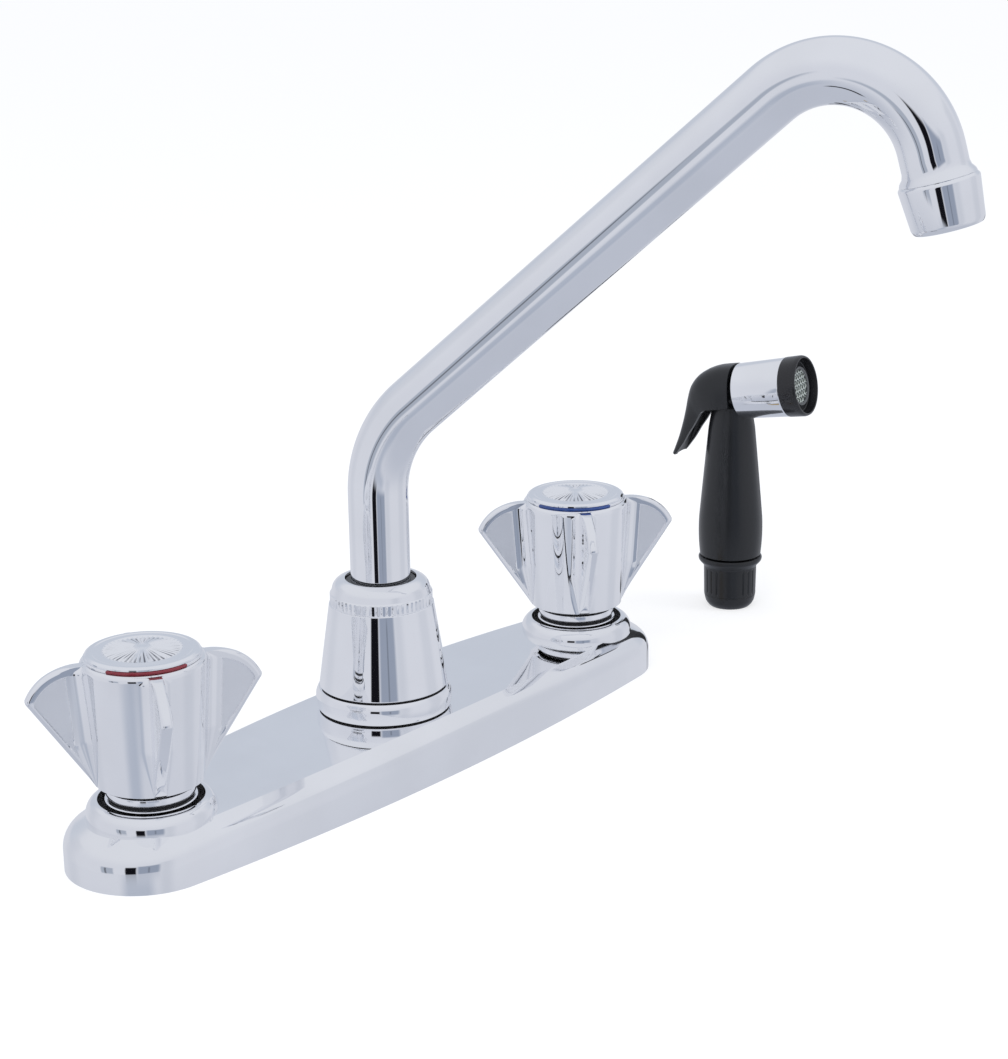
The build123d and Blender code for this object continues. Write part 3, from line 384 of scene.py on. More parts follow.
def fresh(grown, kind):
    """The new points, edges or faces that an extrusion gave."""
    return [item for item in grown["geom"] if isinstance(item, kind)]


def make_piece(name, bm, body, slot, materials, replaces=(), place=None, sharp=32.0, outward=True):
    """A finished, closed mesh, in its place, riding on its body."""
    bmesh.ops.remove_doubles(bm, verts=bm.verts, dist=weld_distance)
    if outward:
        bmesh.ops.recalc_face_normals(bm, faces=bm.faces)
    limit = math.radians(sharp)
    for face in bm.faces:
        face.smooth = True
    for edge in bm.edges:
        edge.smooth = edge.calc_face_angle(0.0) < limit
    if place is not None:
        bm.transform(place)
    mesh = bpy.data.meshes.new(name)
    bm.to_mesh(mesh)
    open_edges = sum(1 for edge in bm.edges if len(edge.link_faces) != 2)
    bm.free()
    for material in materials:
        mesh.materials.append(material)
    piece = bpy.data.objects.new(name, mesh)
    bpy.context.scene.collection.objects.link(piece)
    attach(piece, body)
    if replaces:
        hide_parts(*replaces)
    print(name, len(mesh.polygons), "faces,", open_edges, "open edges")
    return piece


def middle(node):
    """The upright axis through a round node, from its box."""
    low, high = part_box(node)
    return Vector(((low.x + high.x) / 2, (low.y + high.y) / 2, 0))


def at(point, turn_z=0.0):
    """A frame that stands upright at a point."""
    return Matrix.Translation(point) @ Matrix.Rotation(turn_z, 4, "Z")


def along(origin, axis, sideways):
    """A frame whose Z is axis and whose X is near sideways."""
    z = Vector(axis).normalized()
    x = (Vector(sideways) - z * z.dot(sideways)).normalized()
    return Matrix.Translation(origin) @ Matrix((x, z.cross(x), z)).transposed().to_4x4()


# %% [markdown]
# ## The deck plate
# The plate is pressed from one sheet: two rounded ends, sides that bow out, a top that is crowned along
# its length, and a crisp crease before the shoulder. The outline is two arcs, each a spun vertex and its
# mirror image. The face inside it is extruded and inset, step by step, up to the crease. The crown is
# then one move of every point that isn't on the lower edge.

# %% Deck plate
end_x, end_r, half_width = 105.3 * mm, 23.5 * mm, 29.5 * mm
deck_height, crown, wall = 17.2 * mm, 2.0 * mm, 2.0 * mm
crease_in, crease_drop, shoulder_r = 6.5 * mm, 3.4 * mm, 7.0 * mm
bow_r = (end_x**2 + half_width**2 - end_r**2) / (2 * (half_width - end_r))
bow_lean = math.atan2(end_x, bow_r - half_width)
handle_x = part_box("stem_cold")[1].x - (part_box("stem_cold")[1].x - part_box("stem_cold")[0].x) / 2
print("handles stand", round(2 * handle_x / mm, 1), "mm apart")


def deck_outline(inset, end_steps=40, bow_steps=80):
    """The plate's plan as one face, drawn in by inset."""
    bm = bmesh.new()
    tip = bm.verts.new((end_x + end_r - inset, 0, 0))
    bmesh.ops.spin(bm, geom=[tip], cent=(end_x, 0, 0), axis=up, dvec=(0, 0, 0), angle=math.pi / 2 - bow_lean,
                   steps=end_steps, use_merge=False)
    bm.verts.ensure_lookup_table()
    corner = bm.verts[-1]
    bmesh.ops.spin(bm, geom=[corner], cent=(0, half_width - bow_r, 0), axis=up, dvec=(0, 0, 0),
                   angle=bow_lean, steps=bow_steps // 2, use_merge=False)
    for axis in ("X", "Y"):
        bmesh.ops.mirror(bm, geom=bm.verts[:] + bm.edges[:] + bm.faces[:], matrix=Matrix.Identity(4),
                         merge_dist=weld_distance, axis=axis)
    bmesh.ops.remove_doubles(bm, verts=bm.verts, dist=weld_distance)
    bmesh.ops.contextual_create(bm, geom=bm.edges[:])
    return bm


def deck_solid(inset, drop, rounded):
    """A closed body with the plate's plan, wall, shoulder, crease and crowned top."""
    bm = deck_outline(inset)
    slope = math.atan2(crease_drop, crease_in)
    bend = math.pi / 2 - slope
    tangent = shoulder_r * math.tan(bend / 2)
    top = deck_height - drop
    if rounded:
        steps = 10
        arc = [(shoulder_r * (1 - math.cos(bend * i / steps)), shoulder_r * math.sin(bend * i / steps))
               for i in range(steps + 1)]
        lower = top - crease_drop - tangent
        rings = [(0.0, lower)] + [(x, lower + z) for x, z in arc[1:]] + [(crease_in, top)]
    else:
        rings = [(0.0, top - crease_drop), (crease_in, top)]
    bm.faces.ensure_lookup_table()
    cap = bm.faces[0]
    moved = bmesh.ops.extrude_face_region(bm, geom=[cap], use_keep_orig=True)
    cap = fresh(moved, bmesh.types.BMFace)[0]
    bmesh.ops.translate(bm, verts=cap.verts[:], vec=(0, 0, rings[0][1]))
    cap.normal_update()
    if cap.normal.z < 0:
        cap.normal_flip()
    for (x0, z0), (x1, z1) in zip(rings, rings[1:]):
        bmesh.ops.inset_region(bm, faces=[cap], thickness=x1 - x0, depth=0, use_even_offset=True)
        bmesh.ops.translate(bm, verts=cap.verts[:], vec=(0, 0, z1 - z0))
    sides = [[edge for edge in cap.edges if sign * (edge.verts[0].co.y + edge.verts[1].co.y) > 0
              and all(abs(v.co.y) > weld_distance for v in edge.verts)] for sign in (1, -1)]
    tips = [vert for vert in cap.verts if abs(vert.co.y) < weld_distance]
    bmesh.ops.delete(bm, geom=[cap], context="FACES_ONLY")
    bmesh.ops.bridge_loops(bm, edges=sides[0] + sides[1])
    for tip in tips:
        rim = [edge for edge in tip.link_edges if len(edge.link_faces) == 1]
        ends = [edge.other_vert(tip) for edge in rim]
        bmesh.ops.contextual_create(bm, geom=[tip] + ends)
    for vert in bm.verts:
        if vert.co.z > weld_distance:
            vert.co.z -= crown * (vert.co.x / handle_x)**2
    bmesh.ops.recalc_face_normals(bm, faces=bm.faces)
    return bm


def as_object(name, bm):
    """A plain object for a modifier to work on."""
    bmesh.ops.recalc_face_normals(bm, faces=bm.faces)
    mesh = bpy.data.meshes.new(name)
    bm.to_mesh(mesh)
    bm.free()
    thing = bpy.data.objects.new(name, mesh)
    bpy.context.scene.collection.objects.link(thing)
    return thing


def combine(base, *others):
    """Join or cut solids one after the other: (operation, object). The others are used up."""
    for operation, other in others:
        step = base.modifiers.new(operation, "BOOLEAN")
        step.operation = operation
        step.object = other
        step.solver = "EXACT"
        bpy.context.view_layer.update()
        result = bpy.data.meshes.new_from_object(base.evaluated_get(bpy.context.evaluated_depsgraph_get()))
        base.modifiers.clear()
        base.data = result
        bpy.data.objects.remove(other)
    bm = bmesh.new()
    bm.from_mesh(base.data)
    bpy.data.objects.remove(base)
    return bm


boss_r, recess_r, hub_hole_r = 19.3, 15.7, 13.2
lip_z = (deck_height - crown) / mm + 4.5
boss_foot_z = (deck_height - crown) / mm - 2.6
bore_bottom, bore_top, round_steps = -3, 22, 160


def boss(x):
    """The raised ring that a knob turns over."""
    outline = section((recess_r - 1.5, boss_foot_z), (boss_r, boss_foot_z), (boss_r, lip_z - 2.4, 1.6),
                      (recess_r + 1.6, lip_z - 0.05, 0.9), (recess_r - 1.5, lip_z + 0.15))
    bm = spin_round(outline, round_steps)
    bm.transform(Matrix.Translation((x, 0, 0)))
    return as_object("boss", bm)


def bore(x, radius):
    """A cutter that goes right through the plate."""
    bm = spin_round(section((0, bore_bottom), (radius, bore_bottom), (radius, bore_top), (0, bore_top)),
                    round_steps)
    bm.transform(Matrix.Translation((x, 0, 0)))
    return as_object("bore", bm)


def make_deck():
    outer = as_object("deck", deck_solid(0.0, 0.0, True))
    inner = deck_solid(wall, wall, False)
    for vert in inner.verts:
        if vert.co.z < weld_distance:
            vert.co.z = -wall
    bm = combine(outer, ("UNION", boss(-handle_x)), ("UNION", boss(handle_x)),
                 ("DIFFERENCE", as_object("inner", inner)), ("DIFFERENCE", bore(-handle_x, recess_r)),
                 ("DIFFERENCE", bore(handle_x, recess_r)), ("DIFFERENCE", bore(0, hub_hole_r)))
    make_piece("deck_plate", bm, "faucet", "chrome", [chrome], ["deck_cover"], sharp=18.0)


make_deck()

# %% [markdown]
# ## The spout's stand
# A ring, a tapered cone and a domed nut with a fine knurl, turned as on a lathe. A knurl could be cut with
# sixty small solids. Here the nut is turned with four steps to each tooth instead, and then every fourth
# row of points on its skirt is pressed in. The ring's two gaps are painted shade: faces of its own mesh that
# take the dark rubber.

# %% Spout stand
ring_top = deck_height / mm + 7.3
cone_foot = ring_top + 0.5
cone_top = cone_foot + 27.2
nut_shoulder = cone_top + 3.6
nut_top = nut_shoulder + 4.6
stand_z = deck_height / mm
teeth, tooth_depth = 60, 0.021     # the depth is a share of the radius


def make_stand():
    ring = section((14.0, stand_z), (20.6, stand_z), (20.6, stand_z + 0.4), (21.3, stand_z + 0.4, 0.2),
                   (22.0, stand_z + 3.0, 1.8), (21.8, ring_top - 1.2, 1.4), (20.9, ring_top, 0.3),
                   (19.9, ring_top), (19.6, ring_top + 0.5), (14.0, ring_top + 0.5))
    bm = spin_round(ring, 180)
    for face in bm.faces:
        height = face.calc_center_median().z / mm
        # the faces of the two gaps take the dark rubber as painted shade
        face.material_index = int(height > ring_top + 0.02 or stand_z + 0.02 < height < stand_z + 0.39)
    make_piece("base_ring_turned", bm, "faucet", "chrome", [chrome, rubber_and_painted_gap_shade], ["base_ring"])
    cone = section((12.6, cone_top - 1.5), (15.2, cone_top - 1.5), (19.2, cone_foot), (20.7, cone_foot, 0.5),
                   (16.7, cone_top, 0.25), (12.6, cone_top))
    make_piece("cone_turned", spin_round(cone, 180), "faucet", "chrome", [chrome], ["spout_cone"])
    nut = section((12.6, cone_top), (16.1, cone_top), (16.35, cone_top + 0.25), (16.35, nut_shoulder - 0.3),
                  (15.95, nut_shoulder, 0.4), (15.1, nut_shoulder + 3.4, 1.6), (12.2, nut_top, 0.7),
                  (11.4, nut_top), (11.4, nut_top - 1.6), (12.6, nut_top - 1.6))
    bm = spin_round(nut, teeth * 4)
    for vert in bm.verts:
        radius = math.hypot(vert.co.x, vert.co.y)
        if radius > 16.2 * mm:
            tooth = math.atan2(vert.co.y, vert.co.x) * teeth
            vert.co.xy *= 1 - tooth_depth * max(0.0, math.cos(tooth))
    make_piece("nut_turned", bm, "faucet", "chrome", [chrome], ["spout_nut"], sharp=40)


make_stand()

# %% [markdown]
# ## The spout
# A bent tube is a ring that travels: extruded along the straight runs and spun round the centre of each
# bend, just as a bender makes it. A curve with a bevel would do as well, but its rings turn as they go,
# and a travelling ring keeps even rows for the reflections to run along. The last rings swell to the flare.

# %% Spout tube
tube_r = 9.51
spout_swing = math.radians(18.0)
knee_z, knee_angle, knee_r = 105.4, math.radians(48.6), 38.5
run_length, hook_angle, hook_r, hook_tail = 212.0, math.radians(116.4), 28.1, 53.8
spout_frame = Matrix.Rotation(spout_swing - math.pi / 2, 4, "Z")     # X is outwards, Z is up
tube_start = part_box("spout_tube")[0].z / mm
outlet_lean = knee_angle + hook_angle
knee_back = knee_r * math.tan(knee_angle / 2)
hook_back = hook_r * math.tan(hook_angle / 2)
hook_corner = Vector((run_length * math.sin(knee_angle), 0, knee_z + run_length * math.cos(knee_angle)))
outlet_way = Vector((math.sin(outlet_lean), 0, math.cos(outlet_lean)))
outlet_at = hook_corner + hook_tail * outlet_way


def travel(bm, loop, steps, offset=None, centre=None, angle=0.0):
    """Carry an open ring of edges on, along a line or round a centre, and return the new ring."""
    for step in range(steps):
        grown = bmesh.ops.extrude_edge_only(bm, edges=loop)
        ring, loop = fresh(grown, bmesh.types.BMVert), fresh(grown, bmesh.types.BMEdge)
        if offset is not None:
            bmesh.ops.translate(bm, verts=ring, vec=offset / steps)
        else:
            bmesh.ops.rotate(bm, verts=ring, cent=centre, matrix=Matrix.Rotation(angle / steps, 3, "Y"))
    return loop


def swell(bm, loop, factor):
    """Widen a ring about its own middle."""
    ring = list({vert for edge in loop for vert in edge.verts})
    centre = sum((vert.co for vert in ring), Vector()) / len(ring)
    for vert in ring:
        vert.co = centre + (vert.co - centre) * factor


def make_tube():
    bm = bmesh.new()
    bmesh.ops.create_circle(bm, cap_ends=False, segments=96, radius=tube_r * mm)
    bmesh.ops.translate(bm, verts=bm.verts, vec=(0, 0, tube_start * mm))
    loop = bm.edges[:]
    rise = Vector((math.sin(knee_angle), 0, math.cos(knee_angle)))
    straight = run_length - knee_back - hook_back
    loop = travel(bm, loop, 6, offset=up * (knee_z - knee_back - tube_start) * mm)
    loop = travel(bm, loop, 28, centre=Vector((knee_r, 0, knee_z - knee_back)) * mm, angle=knee_angle)
    loop = travel(bm, loop, 12, offset=rise * straight * mm)
    turned_from = hook_corner - rise * hook_back
    inside = Vector((math.cos(knee_angle), 0, -math.sin(knee_angle)))
    loop = travel(bm, loop, 56, centre=(turned_from + inside * hook_r) * mm, angle=hook_angle)
    flare = 3.4
    loop = travel(bm, loop, 2, offset=outlet_way * (hook_tail - hook_back - flare) * mm)
    for share, factor in ((0.4, 1.035), (0.35, 1.095), (0.25, 1.025)):
        loop = travel(bm, loop, 1, offset=outlet_way * flare * share * mm)
        swell(bm, loop, factor)
    ends = [edge for edge in bm.edges if len(edge.link_faces) == 1]
    bmesh.ops.holes_fill(bm, edges=ends, sides=0)
    make_piece("spout_tube_bent", bm, "spout", "chrome", [chrome], ["spout_tube"], place=spout_frame)


make_tube()

# %% [markdown]
# ## The aerator
# The outlet's shell screws on below the tube's flare: a tapered sleeve with soft corners, turned about the
# outlet's own axis.

# %% Aerator
def make_aerator():
    place = spout_frame @ along(outlet_at * mm, outlet_way, (0, 1, 0))
    shell = section((9.95, 0.05), (10.9, 0.05), (11.65, 0.8, 0.5), (10.45, 13.0, 0.8), (9.6, 14.0, 0.4),
                    (8.4, 14.0, 0.3), (8.4, 11.8), (9.05, 11.8), (9.05, 7.2), (9.95, 7.2))
    make_piece("aerator_sleeve", spin_round(shell), "spout", "chrome", [chrome], ["aerator_shell"],
               place=place)


make_aerator()

# %% [markdown]
# ## The knobs
# Each knob is one ring of points that travels: up the outside, over the shoulder, into the pocket, and
# from its foot up the hollow inside. At each height the ring takes the shape of a section through a
# tapered round body and four wings, with a hollow fillet at each root, a rounded rim and a flat face
# that is sunk a little. The rim follows the wing's slanted edge and its arc.

# %% Knobs
knob_bottom, knob_height = 24.9, 38.0
knob_top = knob_bottom + knob_height
knob_foot_r, knob_head_r, knob_shoulder = 15.9, 18.3, 1.8
wing_half, wing_round, root_round = 1.85, 1.55, 4.2
wing_foot, wing_low_tip, wing_top = 25.3, (34.0, 52.3), 62.39
wing_arc = (20.694, 47.47, 14.925)         # centre and radius of the rim's arc, in the wing's plane
wing_reach = 34.3                          # no part of the rim stands further out
panel_in, panel_sunk = 2.3, 0.5
tip_points, edge_points, floor_points, root_points, body_points = 3, 7, 5, 9, 14
side_points = 4 + floor_points
octant = tip_points + edge_points + side_points + root_points + body_points - 1     # steps between points


def body_radius(z):
    """The round body's radius at a height: a taper, then a rounded shoulder."""
    taper = knob_foot_r + (knob_head_r - knob_foot_r) * (z - knob_bottom) / (knob_height - knob_shoulder)
    over = z - (knob_top - knob_shoulder)
    if over <= 0:
        return taper
    return knob_head_r - knob_shoulder + math.sqrt(max(0.0, knob_shoulder**2 - over**2))


def wing_edge(z, inset=0.0, slant_inset=None):
    """How far out the wing's edge, drawn in by inset, stands at a height."""
    slant_inset = inset if slant_inset is None else slant_inset
    slope = (wing_low_tip[0] - knob_foot_r) / (wing_low_tip[1] - wing_foot)
    slant = knob_foot_r + slope * (z - wing_foot) - slant_inset * math.hypot(1, slope)
    rise = z - wing_arc[1]
    reach = wing_arc[2] - inset
    arc = wing_arc[0] + math.sqrt(max(0.0, reach**2 - rise**2)) if rise < reach else 0.0
    return min(slant, arc, wing_reach - inset)


def fade(value, start, end):
    """0 before start, 1 after end, smooth between them, for plain numbers."""
    share = min(1.0, max(0.0, (value - start) / (end - start)))
    return share * share * (3 - 2 * share)


def knob_section(z):
    """One octant, from a wing's middle line to halfway between two wings, as (out, aside, sunk)."""
    body = body_radius(z)
    edge = max(wing_edge(z), body)
    free = edge - body
    steep = math.hypot(1, (wing_edge(z + 0.1) - wing_edge(z - 0.1)) / 0.2)
    aside = min(wing_round, 0.9 * free)
    out = min(wing_round * steep, 0.45 * free)
    root = max(0.02, min(root_round * (1 - 0.8 * fade(z, wing_top - 2.2, wing_top - 0.2)), 0.5 * free))
    root_out = math.sqrt((body + root)**2 - (wing_half + root)**2)
    points = [(edge, (wing_half - aside) * i / tip_points, 0) for i in range(tip_points)]
    for i in range(edge_points):
        turn = math.pi / 2 * i / edge_points
        points.append((edge - out * (1 - math.cos(turn)), wing_half - aside * (1 - math.sin(turn)), 0))
    start, end = edge - out, min(root_out, edge - out)
    high = max(end, min(start, wing_edge(z, panel_in, 0.9)))
    low = min(high, max(end, end + 1.0))
    sunk = panel_sunk * fade(high - low, 0.3, 3.0) * fade(z, 33.0, 44.0)
    points += [(start, wing_half, 0), (high, wing_half, 0)]
    step = min(0.35, 0.3 * (high - low))
    for i in range(floor_points):
        share = i / (floor_points - 1)
        points.append((high - step + (low - high + 2 * step) * share, wing_half - sunk, 1))
    points += [(low, wing_half, 0), (end, wing_half, 0)]
    sweep_from, centre = math.atan2(wing_half + root, root_out), (root_out, wing_half + root)
    for i in range(1, root_points + 1):
        turn = -math.pi / 2 - (math.pi / 2 - sweep_from) * i / root_points
        points.append((centre[0] + root * math.cos(turn), centre[1] + root * math.sin(turn), 0))
    for i in range(1, body_points + 1):
        turn = sweep_from + (math.pi / 4 - sweep_from) * i / body_points
        points.append((body * math.cos(turn), body * math.sin(turn), 0))
    return points


def round_section(radius):
    """A round ring whose points are spread as a winged one's are."""
    spread = [math.atan2(aside, out) for out, aside, sunk in knob_section(48.0)]
    return [(radius * math.cos(turn), radius * math.sin(turn), 0) for turn in spread]


def shape_ring(verts, layer, points, z):
    """Put each point of the ring at its place in the section: eight octants, every other one mirrored."""
    for vert in verts:
        quarter, step = divmod(vert[layer] % 1000, 2 * octant)
        mirrored = step > octant
        out, aside, sunk = points[2 * octant - step if mirrored else step]
        turn = math.pi / 2 * (quarter + mirrored)
        aside = -aside if mirrored else aside
        vert.co = Vector((out * math.cos(turn) - aside * math.sin(turn),
                          out * math.sin(turn) + aside * math.cos(turn), z)) * mm
        vert[layer] = vert[layer] % 1000 + 1000 * sunk


def make_knob(side, angle):
    count = 8 * octant
    bm = bmesh.new()
    layer = bm.verts.layers.int.new("station")
    bmesh.ops.create_circle(bm, cap_ends=False, segments=count, radius=1.0)
    for vert in bm.verts:
        vert[layer] = round(math.atan2(vert.co.y, vert.co.x) / (2 * math.pi) * count) % count
    first = bm.edges[:]
    shape_ring(bm.verts, layer, round_section(knob_foot_r - 0.8), knob_bottom)
    wing_levels = [wing_foot + 0.02 + (58.0 - wing_foot) * i / 60 for i in range(61)]
    wing_levels += [58.3 + 0.22 * i for i in range(18)] + [62.2, 62.29, 62.35, wing_top - 0.005]
    foot = ((knob_foot_r - 0.5, knob_bottom + 0.08), (knob_foot_r - 0.15, knob_bottom + 0.25),
            (knob_foot_r, knob_bottom + 0.4))
    pocket = ((16.5, knob_top), (11.9, knob_top), (11.5, knob_top - 0.4), (11.5, 56.0))
    hollow = ((13.6, knob_bottom), (13.2, 25.3), (13.2, 43.9), (7.4, 43.9), (7.4, 25.5), (4.3, 25.5),
              (4.3, 29.9))
    outside = [(round_section(radius), z) for radius, z in foot]
    outside += [(knob_section(z), z) for z in wing_levels]
    outside += [(round_section(body_radius(z)), z) for z in (62.43, 62.6, 62.75, 62.85)]
    outside += [(round_section(radius), z) for radius, z in pocket]
    inside = [(round_section(radius), z) for radius, z in hollow]
    for stations in (outside, inside):
        loop = first
        for points, z in stations:
            grown = bmesh.ops.extrude_edge_only(bm, edges=loop)
            loop = fresh(grown, bmesh.types.BMEdge)
            shape_ring(fresh(grown, bmesh.types.BMVert), layer, points, z)
        bmesh.ops.edgeloop_fill(bm, edges=loop)
    for face in bm.faces:
        face.material_index = int(all(vert[layer] >= 1000 for vert in face.verts))
    make_piece(f"knob_{side}", bm, f"{side}_handle", "chrome", [chrome, satin_chrome], [f"handle_{side}"],
               place=at(middle(f"stem_{side}"), math.radians(angle)), sharp=24)


for side, wing_angle in (("hot", 58.0), ("cold", 48.0)):
    make_knob(side, wing_angle)

# %% [markdown]
# ## Buttons and index rings
# The button's top is a flat rim round a pleated star. A pleat could be a small wedge, repeated. Here the
# button is turned with four steps to each pleat, and then its points are lifted and lowered by a cosine of
# their angle. Its material has painted shade in the hollows of the pleats. The index ring under it is
# plated, and enamelled red or blue only on the side that faces the user.

# %% Buttons and rings
pleats, pleat_lift = 46, 0.22
star_r, button_step = 11.2, 0.8


def round_place(make, centre):
    """Object coordinates from an upright axis, with the distance from it and the turn round it."""
    place = make.output("ShaderNodeTexCoord", "Object")
    place = make.add("ShaderNodeMapping", None, place, Location=tuple(-centre))
    x, y, z = make.parts(place)
    return place, (x * x + y * y).apply("SQRT"), y.atan2(x)


def star_plating_and_painted_shade(side):
    """Bright plating with painted shade in the pleats' hollows: more in some than in others, and none at the
    hub.
    """
    material, make = new_material(f"star_{side}")
    place, distance, turn = round_place(make, middle(f"stem_{side}"))
    radius = distance / mm
    hollow = 1 - (turn * pleats).apply("COSINE").step(-0.75, 0.1)
    around = make.add("ShaderNodeCombineXYZ", None, turn.apply("COSINE"), turn.apply("SINE"), radius * 0.02)
    drift = make.add("ShaderNodeTexNoise", None, around, Scale=5.5, Detail=3.0)
    star = radius.step(2.6, 6.0) * (1 - radius.step(10.3, 11.1))
    # painted shade: the pleats' hollows are darkened in the base colour, more in some than in others
    dark = hollow * star * drift.step(0.38, 0.62)
    make.surface(Metallic=1.0, Roughness=dark * 0.15 + 0.06,
                 **{"Base Color": make.mix(dark * 0.85, (0.93, 0.94, 0.96), (0.11, 0.12, 0.15))})
    return material


def make_button(side):
    top = knob_top + button_step
    outline = section((11.0, top - 3.0), (11.2, top), (16.4, top), (16.6, top + 0.2), (16.6, top + 0.65),
                      (15.9, top + 1.2, 0.35), (14.6, top + 1.25, 0.2), (14.2, top + 1.05, 0.2),
                      (11.9, top + 1.3, 0.3), (11.0, top + 0.95), (8.6, top + 1.3), (6.0, top + 1.6),
                      (3.6, top + 1.9), (2.2, top + 2.0), (1.1, top + 2.15), (0, top + 2.2), (0, top - 3.0))
    bm = spin_round(outline, pleats * 4)
    for vert in bm.verts:
        radius = math.hypot(vert.co.x, vert.co.y) / mm
        if 2.0 < radius < star_r and vert.co.z > (top + 0.9) * mm:
            spoke = math.cos(math.atan2(vert.co.y, vert.co.x) * pleats)
            vert.co.z += pleat_lift * mm * spoke * fade(radius, 1.8, 6.5)
    make_piece(f"button_{side}", bm, f"{side}_handle", "button", [star_plating_and_painted_shade(side)],
               [f"index_button_{side}"], place=at(middle(f"stem_{side}")), sharp=22)


def make_index_ring(side, enamel, low, high):
    """A thin ring, enamelled from low to high degrees as seen from the camera's side."""
    centre = middle(f"stem_{side}")
    facing = math.atan2(camera_at.y - centre.y, camera_at.x - centre.x)
    top = knob_top + button_step
    outline = section((11.5, knob_top), (16.9, knob_top), (17.1, knob_top + 0.2), (17.1, top - 0.15, 0.12),
                      (16.8, top), (11.5, top))
    bm = spin_round(outline, 180)
    for face in bm.faces:
        spot = face.calc_center_median()
        turn = math.degrees(math.atan2(spot.y, spot.x) - facing + 3 * math.pi) % 360 - 180
        face.material_index = int(low < turn < high)
    make_piece(f"ring_{side}", bm, f"{side}_handle", "red_ring" if side == "hot" else "blue_ring",
               [chrome, enamel], [f"index_ring_{side}"], place=at(centre))


for side, enamel, low, high in (("hot", red_enamel, -38, 46), ("cold", blue_enamel, -48, 45)):
    make_button(side)
    make_index_ring(side, enamel, low, high)

# %% [markdown]
# ## The sprayer's lever
# The lever is a thin pressed channel: a hood over the head that narrows to a thumb piece. A row of points
# across it is extruded from the hood's front edge to the tip, and takes its height and width from a
# few stations with a smooth curve through them. Solidify gives the wall and Bevel softens its rim, which
# is easier than drawing the inside as well.

# %% Lever
def smooth_through(values, place):
    """A smooth curve through evenly placed values, as a Catmull-Rom spline."""
    last = len(values) - 1
    i = min(int(place), last - 1)
    t = place - i
    a, b, c, d = (values[max(0, min(last, i + k))] for k in (-1, 0, 1, 2))
    return tuple(0.5 * (2 * q + (r - p) * t + (2 * p - 5 * q + 4 * r - s) * t * t
                        + (3 * q - p - 3 * r + s) * t**3) for p, q, r, s in zip(a, b, c, d))


sprayer_at = middle("sprayer_hose_nut")
head_heading, head_tilt, head_height = math.radians(-80.0), math.radians(10.3), 83.4
head_at = sprayer_at + up * head_height * mm
level_way = Vector((math.cos(head_heading), math.sin(head_heading), 0))
head_way = level_way * math.cos(head_tilt) + up * math.sin(head_tilt)
head_up = up * math.cos(head_tilt) - level_way * math.sin(head_tilt)
head_side = head_way.cross(head_up)
# along and over the head: the back's line, the channel's edge, then half the width
lever_stations = ((3.0, 10.4, 1.9, -4.4, 10.2), (-0.2, 10.5, -0.6, -4.5, 10.2),
                  (-3.6, 10.4, -3.2, -4.6, 10.2), (-7.6, 9.6, -6.0, -4.6, 9.9),
                  (-11.6, 7.7, -8.6, -4.8, 9.2), (-14.9, 4.6, -11.0, -6.0, 8.1),
                  (-17.0, 0.7, -12.6, -7.7, 7.2), (-18.7, -3.8, -15.0, -10.6, 6.7),
                  (-20.8, -9.0, -17.8, -13.6, 6.4), (-23.3, -14.3, -20.9, -17.3, 6.1),
                  (-26.6, -20.3, -25.0, -21.3, 5.8))


def make_lever():
    across, steps = 28, 66
    bm = bmesh.new()
    layer = bm.verts.layers.int.new("station")
    start = bm.verts.new((0, 0, 0))
    bmesh.ops.spin(bm, geom=[start], cent=(1, 0, 0), axis=up, dvec=(0, 0, 0), angle=math.pi, steps=across,
                   use_merge=False)
    bm.verts.ensure_lookup_table()
    for i, vert in enumerate(bm.verts):
        vert[layer] = i

    def settle(verts, share):
        station = smooth_through(lever_stations, share * (len(lever_stations) - 1))
        back_x, back_z, edge_x, edge_z, half = station
        for vert in verts:
            turn = math.pi * (vert[layer] / across - 0.5)
            wide = math.copysign(abs(math.sin(turn))**0.72, turn)
            tall = abs(math.cos(turn))**0.78
            x = edge_x + (back_x - edge_x) * tall
            z = edge_z + (back_z - edge_z) * tall
            vert.co = head_at + (head_way * x + head_up * z + head_side * half * wide) * mm

    settle(bm.verts, 0.0)
    loop = bm.edges[:]
    for step in range(1, steps + 1):
        grown = bmesh.ops.extrude_edge_only(bm, edges=loop)
        loop = fresh(grown, bmesh.types.BMEdge)
        settle(fresh(grown, bmesh.types.BMVert), step / steps)
    bmesh.ops.recalc_face_normals(bm, faces=bm.faces)
    bm.faces.ensure_lookup_table()
    top_face = max(bm.faces, key=lambda face: face.calc_center_median().z)
    if top_face.normal.z < 0:
        bmesh.ops.reverse_faces(bm, faces=bm.faces)
    piece = make_piece("lever_pressed", bm, "spray_lever", "black_plastic", [black_plastic],
                       ["sprayer_lever"], sharp=50, outward=False)
    wall = piece.modifiers.new("wall", "SOLIDIFY")
    wall.thickness = 1.7 * mm
    wall.offset = -1
    soft = piece.modifiers.new("soft_edges", "BEVEL")
    soft.width = 0.4 * mm
    soft.segments = 3
    soft.angle_limit = math.radians(50)
    soft.harden_normals = True


make_lever()

# %% [markdown]
# ## The sprayer's nozzle and screen
# The nozzle is a black ring with a wide mouth. A small boss in the mouth holds the screen, which is woven.
# A picture of a mesh would look flat from the side, so each wire is a ring of six points drawn across the
# hole, over one crossing wire and under the next. A black disc behind them is painted shade that keeps the
# mouth dark.

# %% Nozzle and screen
screen_r, screen_pitch, wire_r, screen_z = 6.1, 1.5, 0.23, 27.2
shadow_z, shadow_thick = 26.0, 0.4


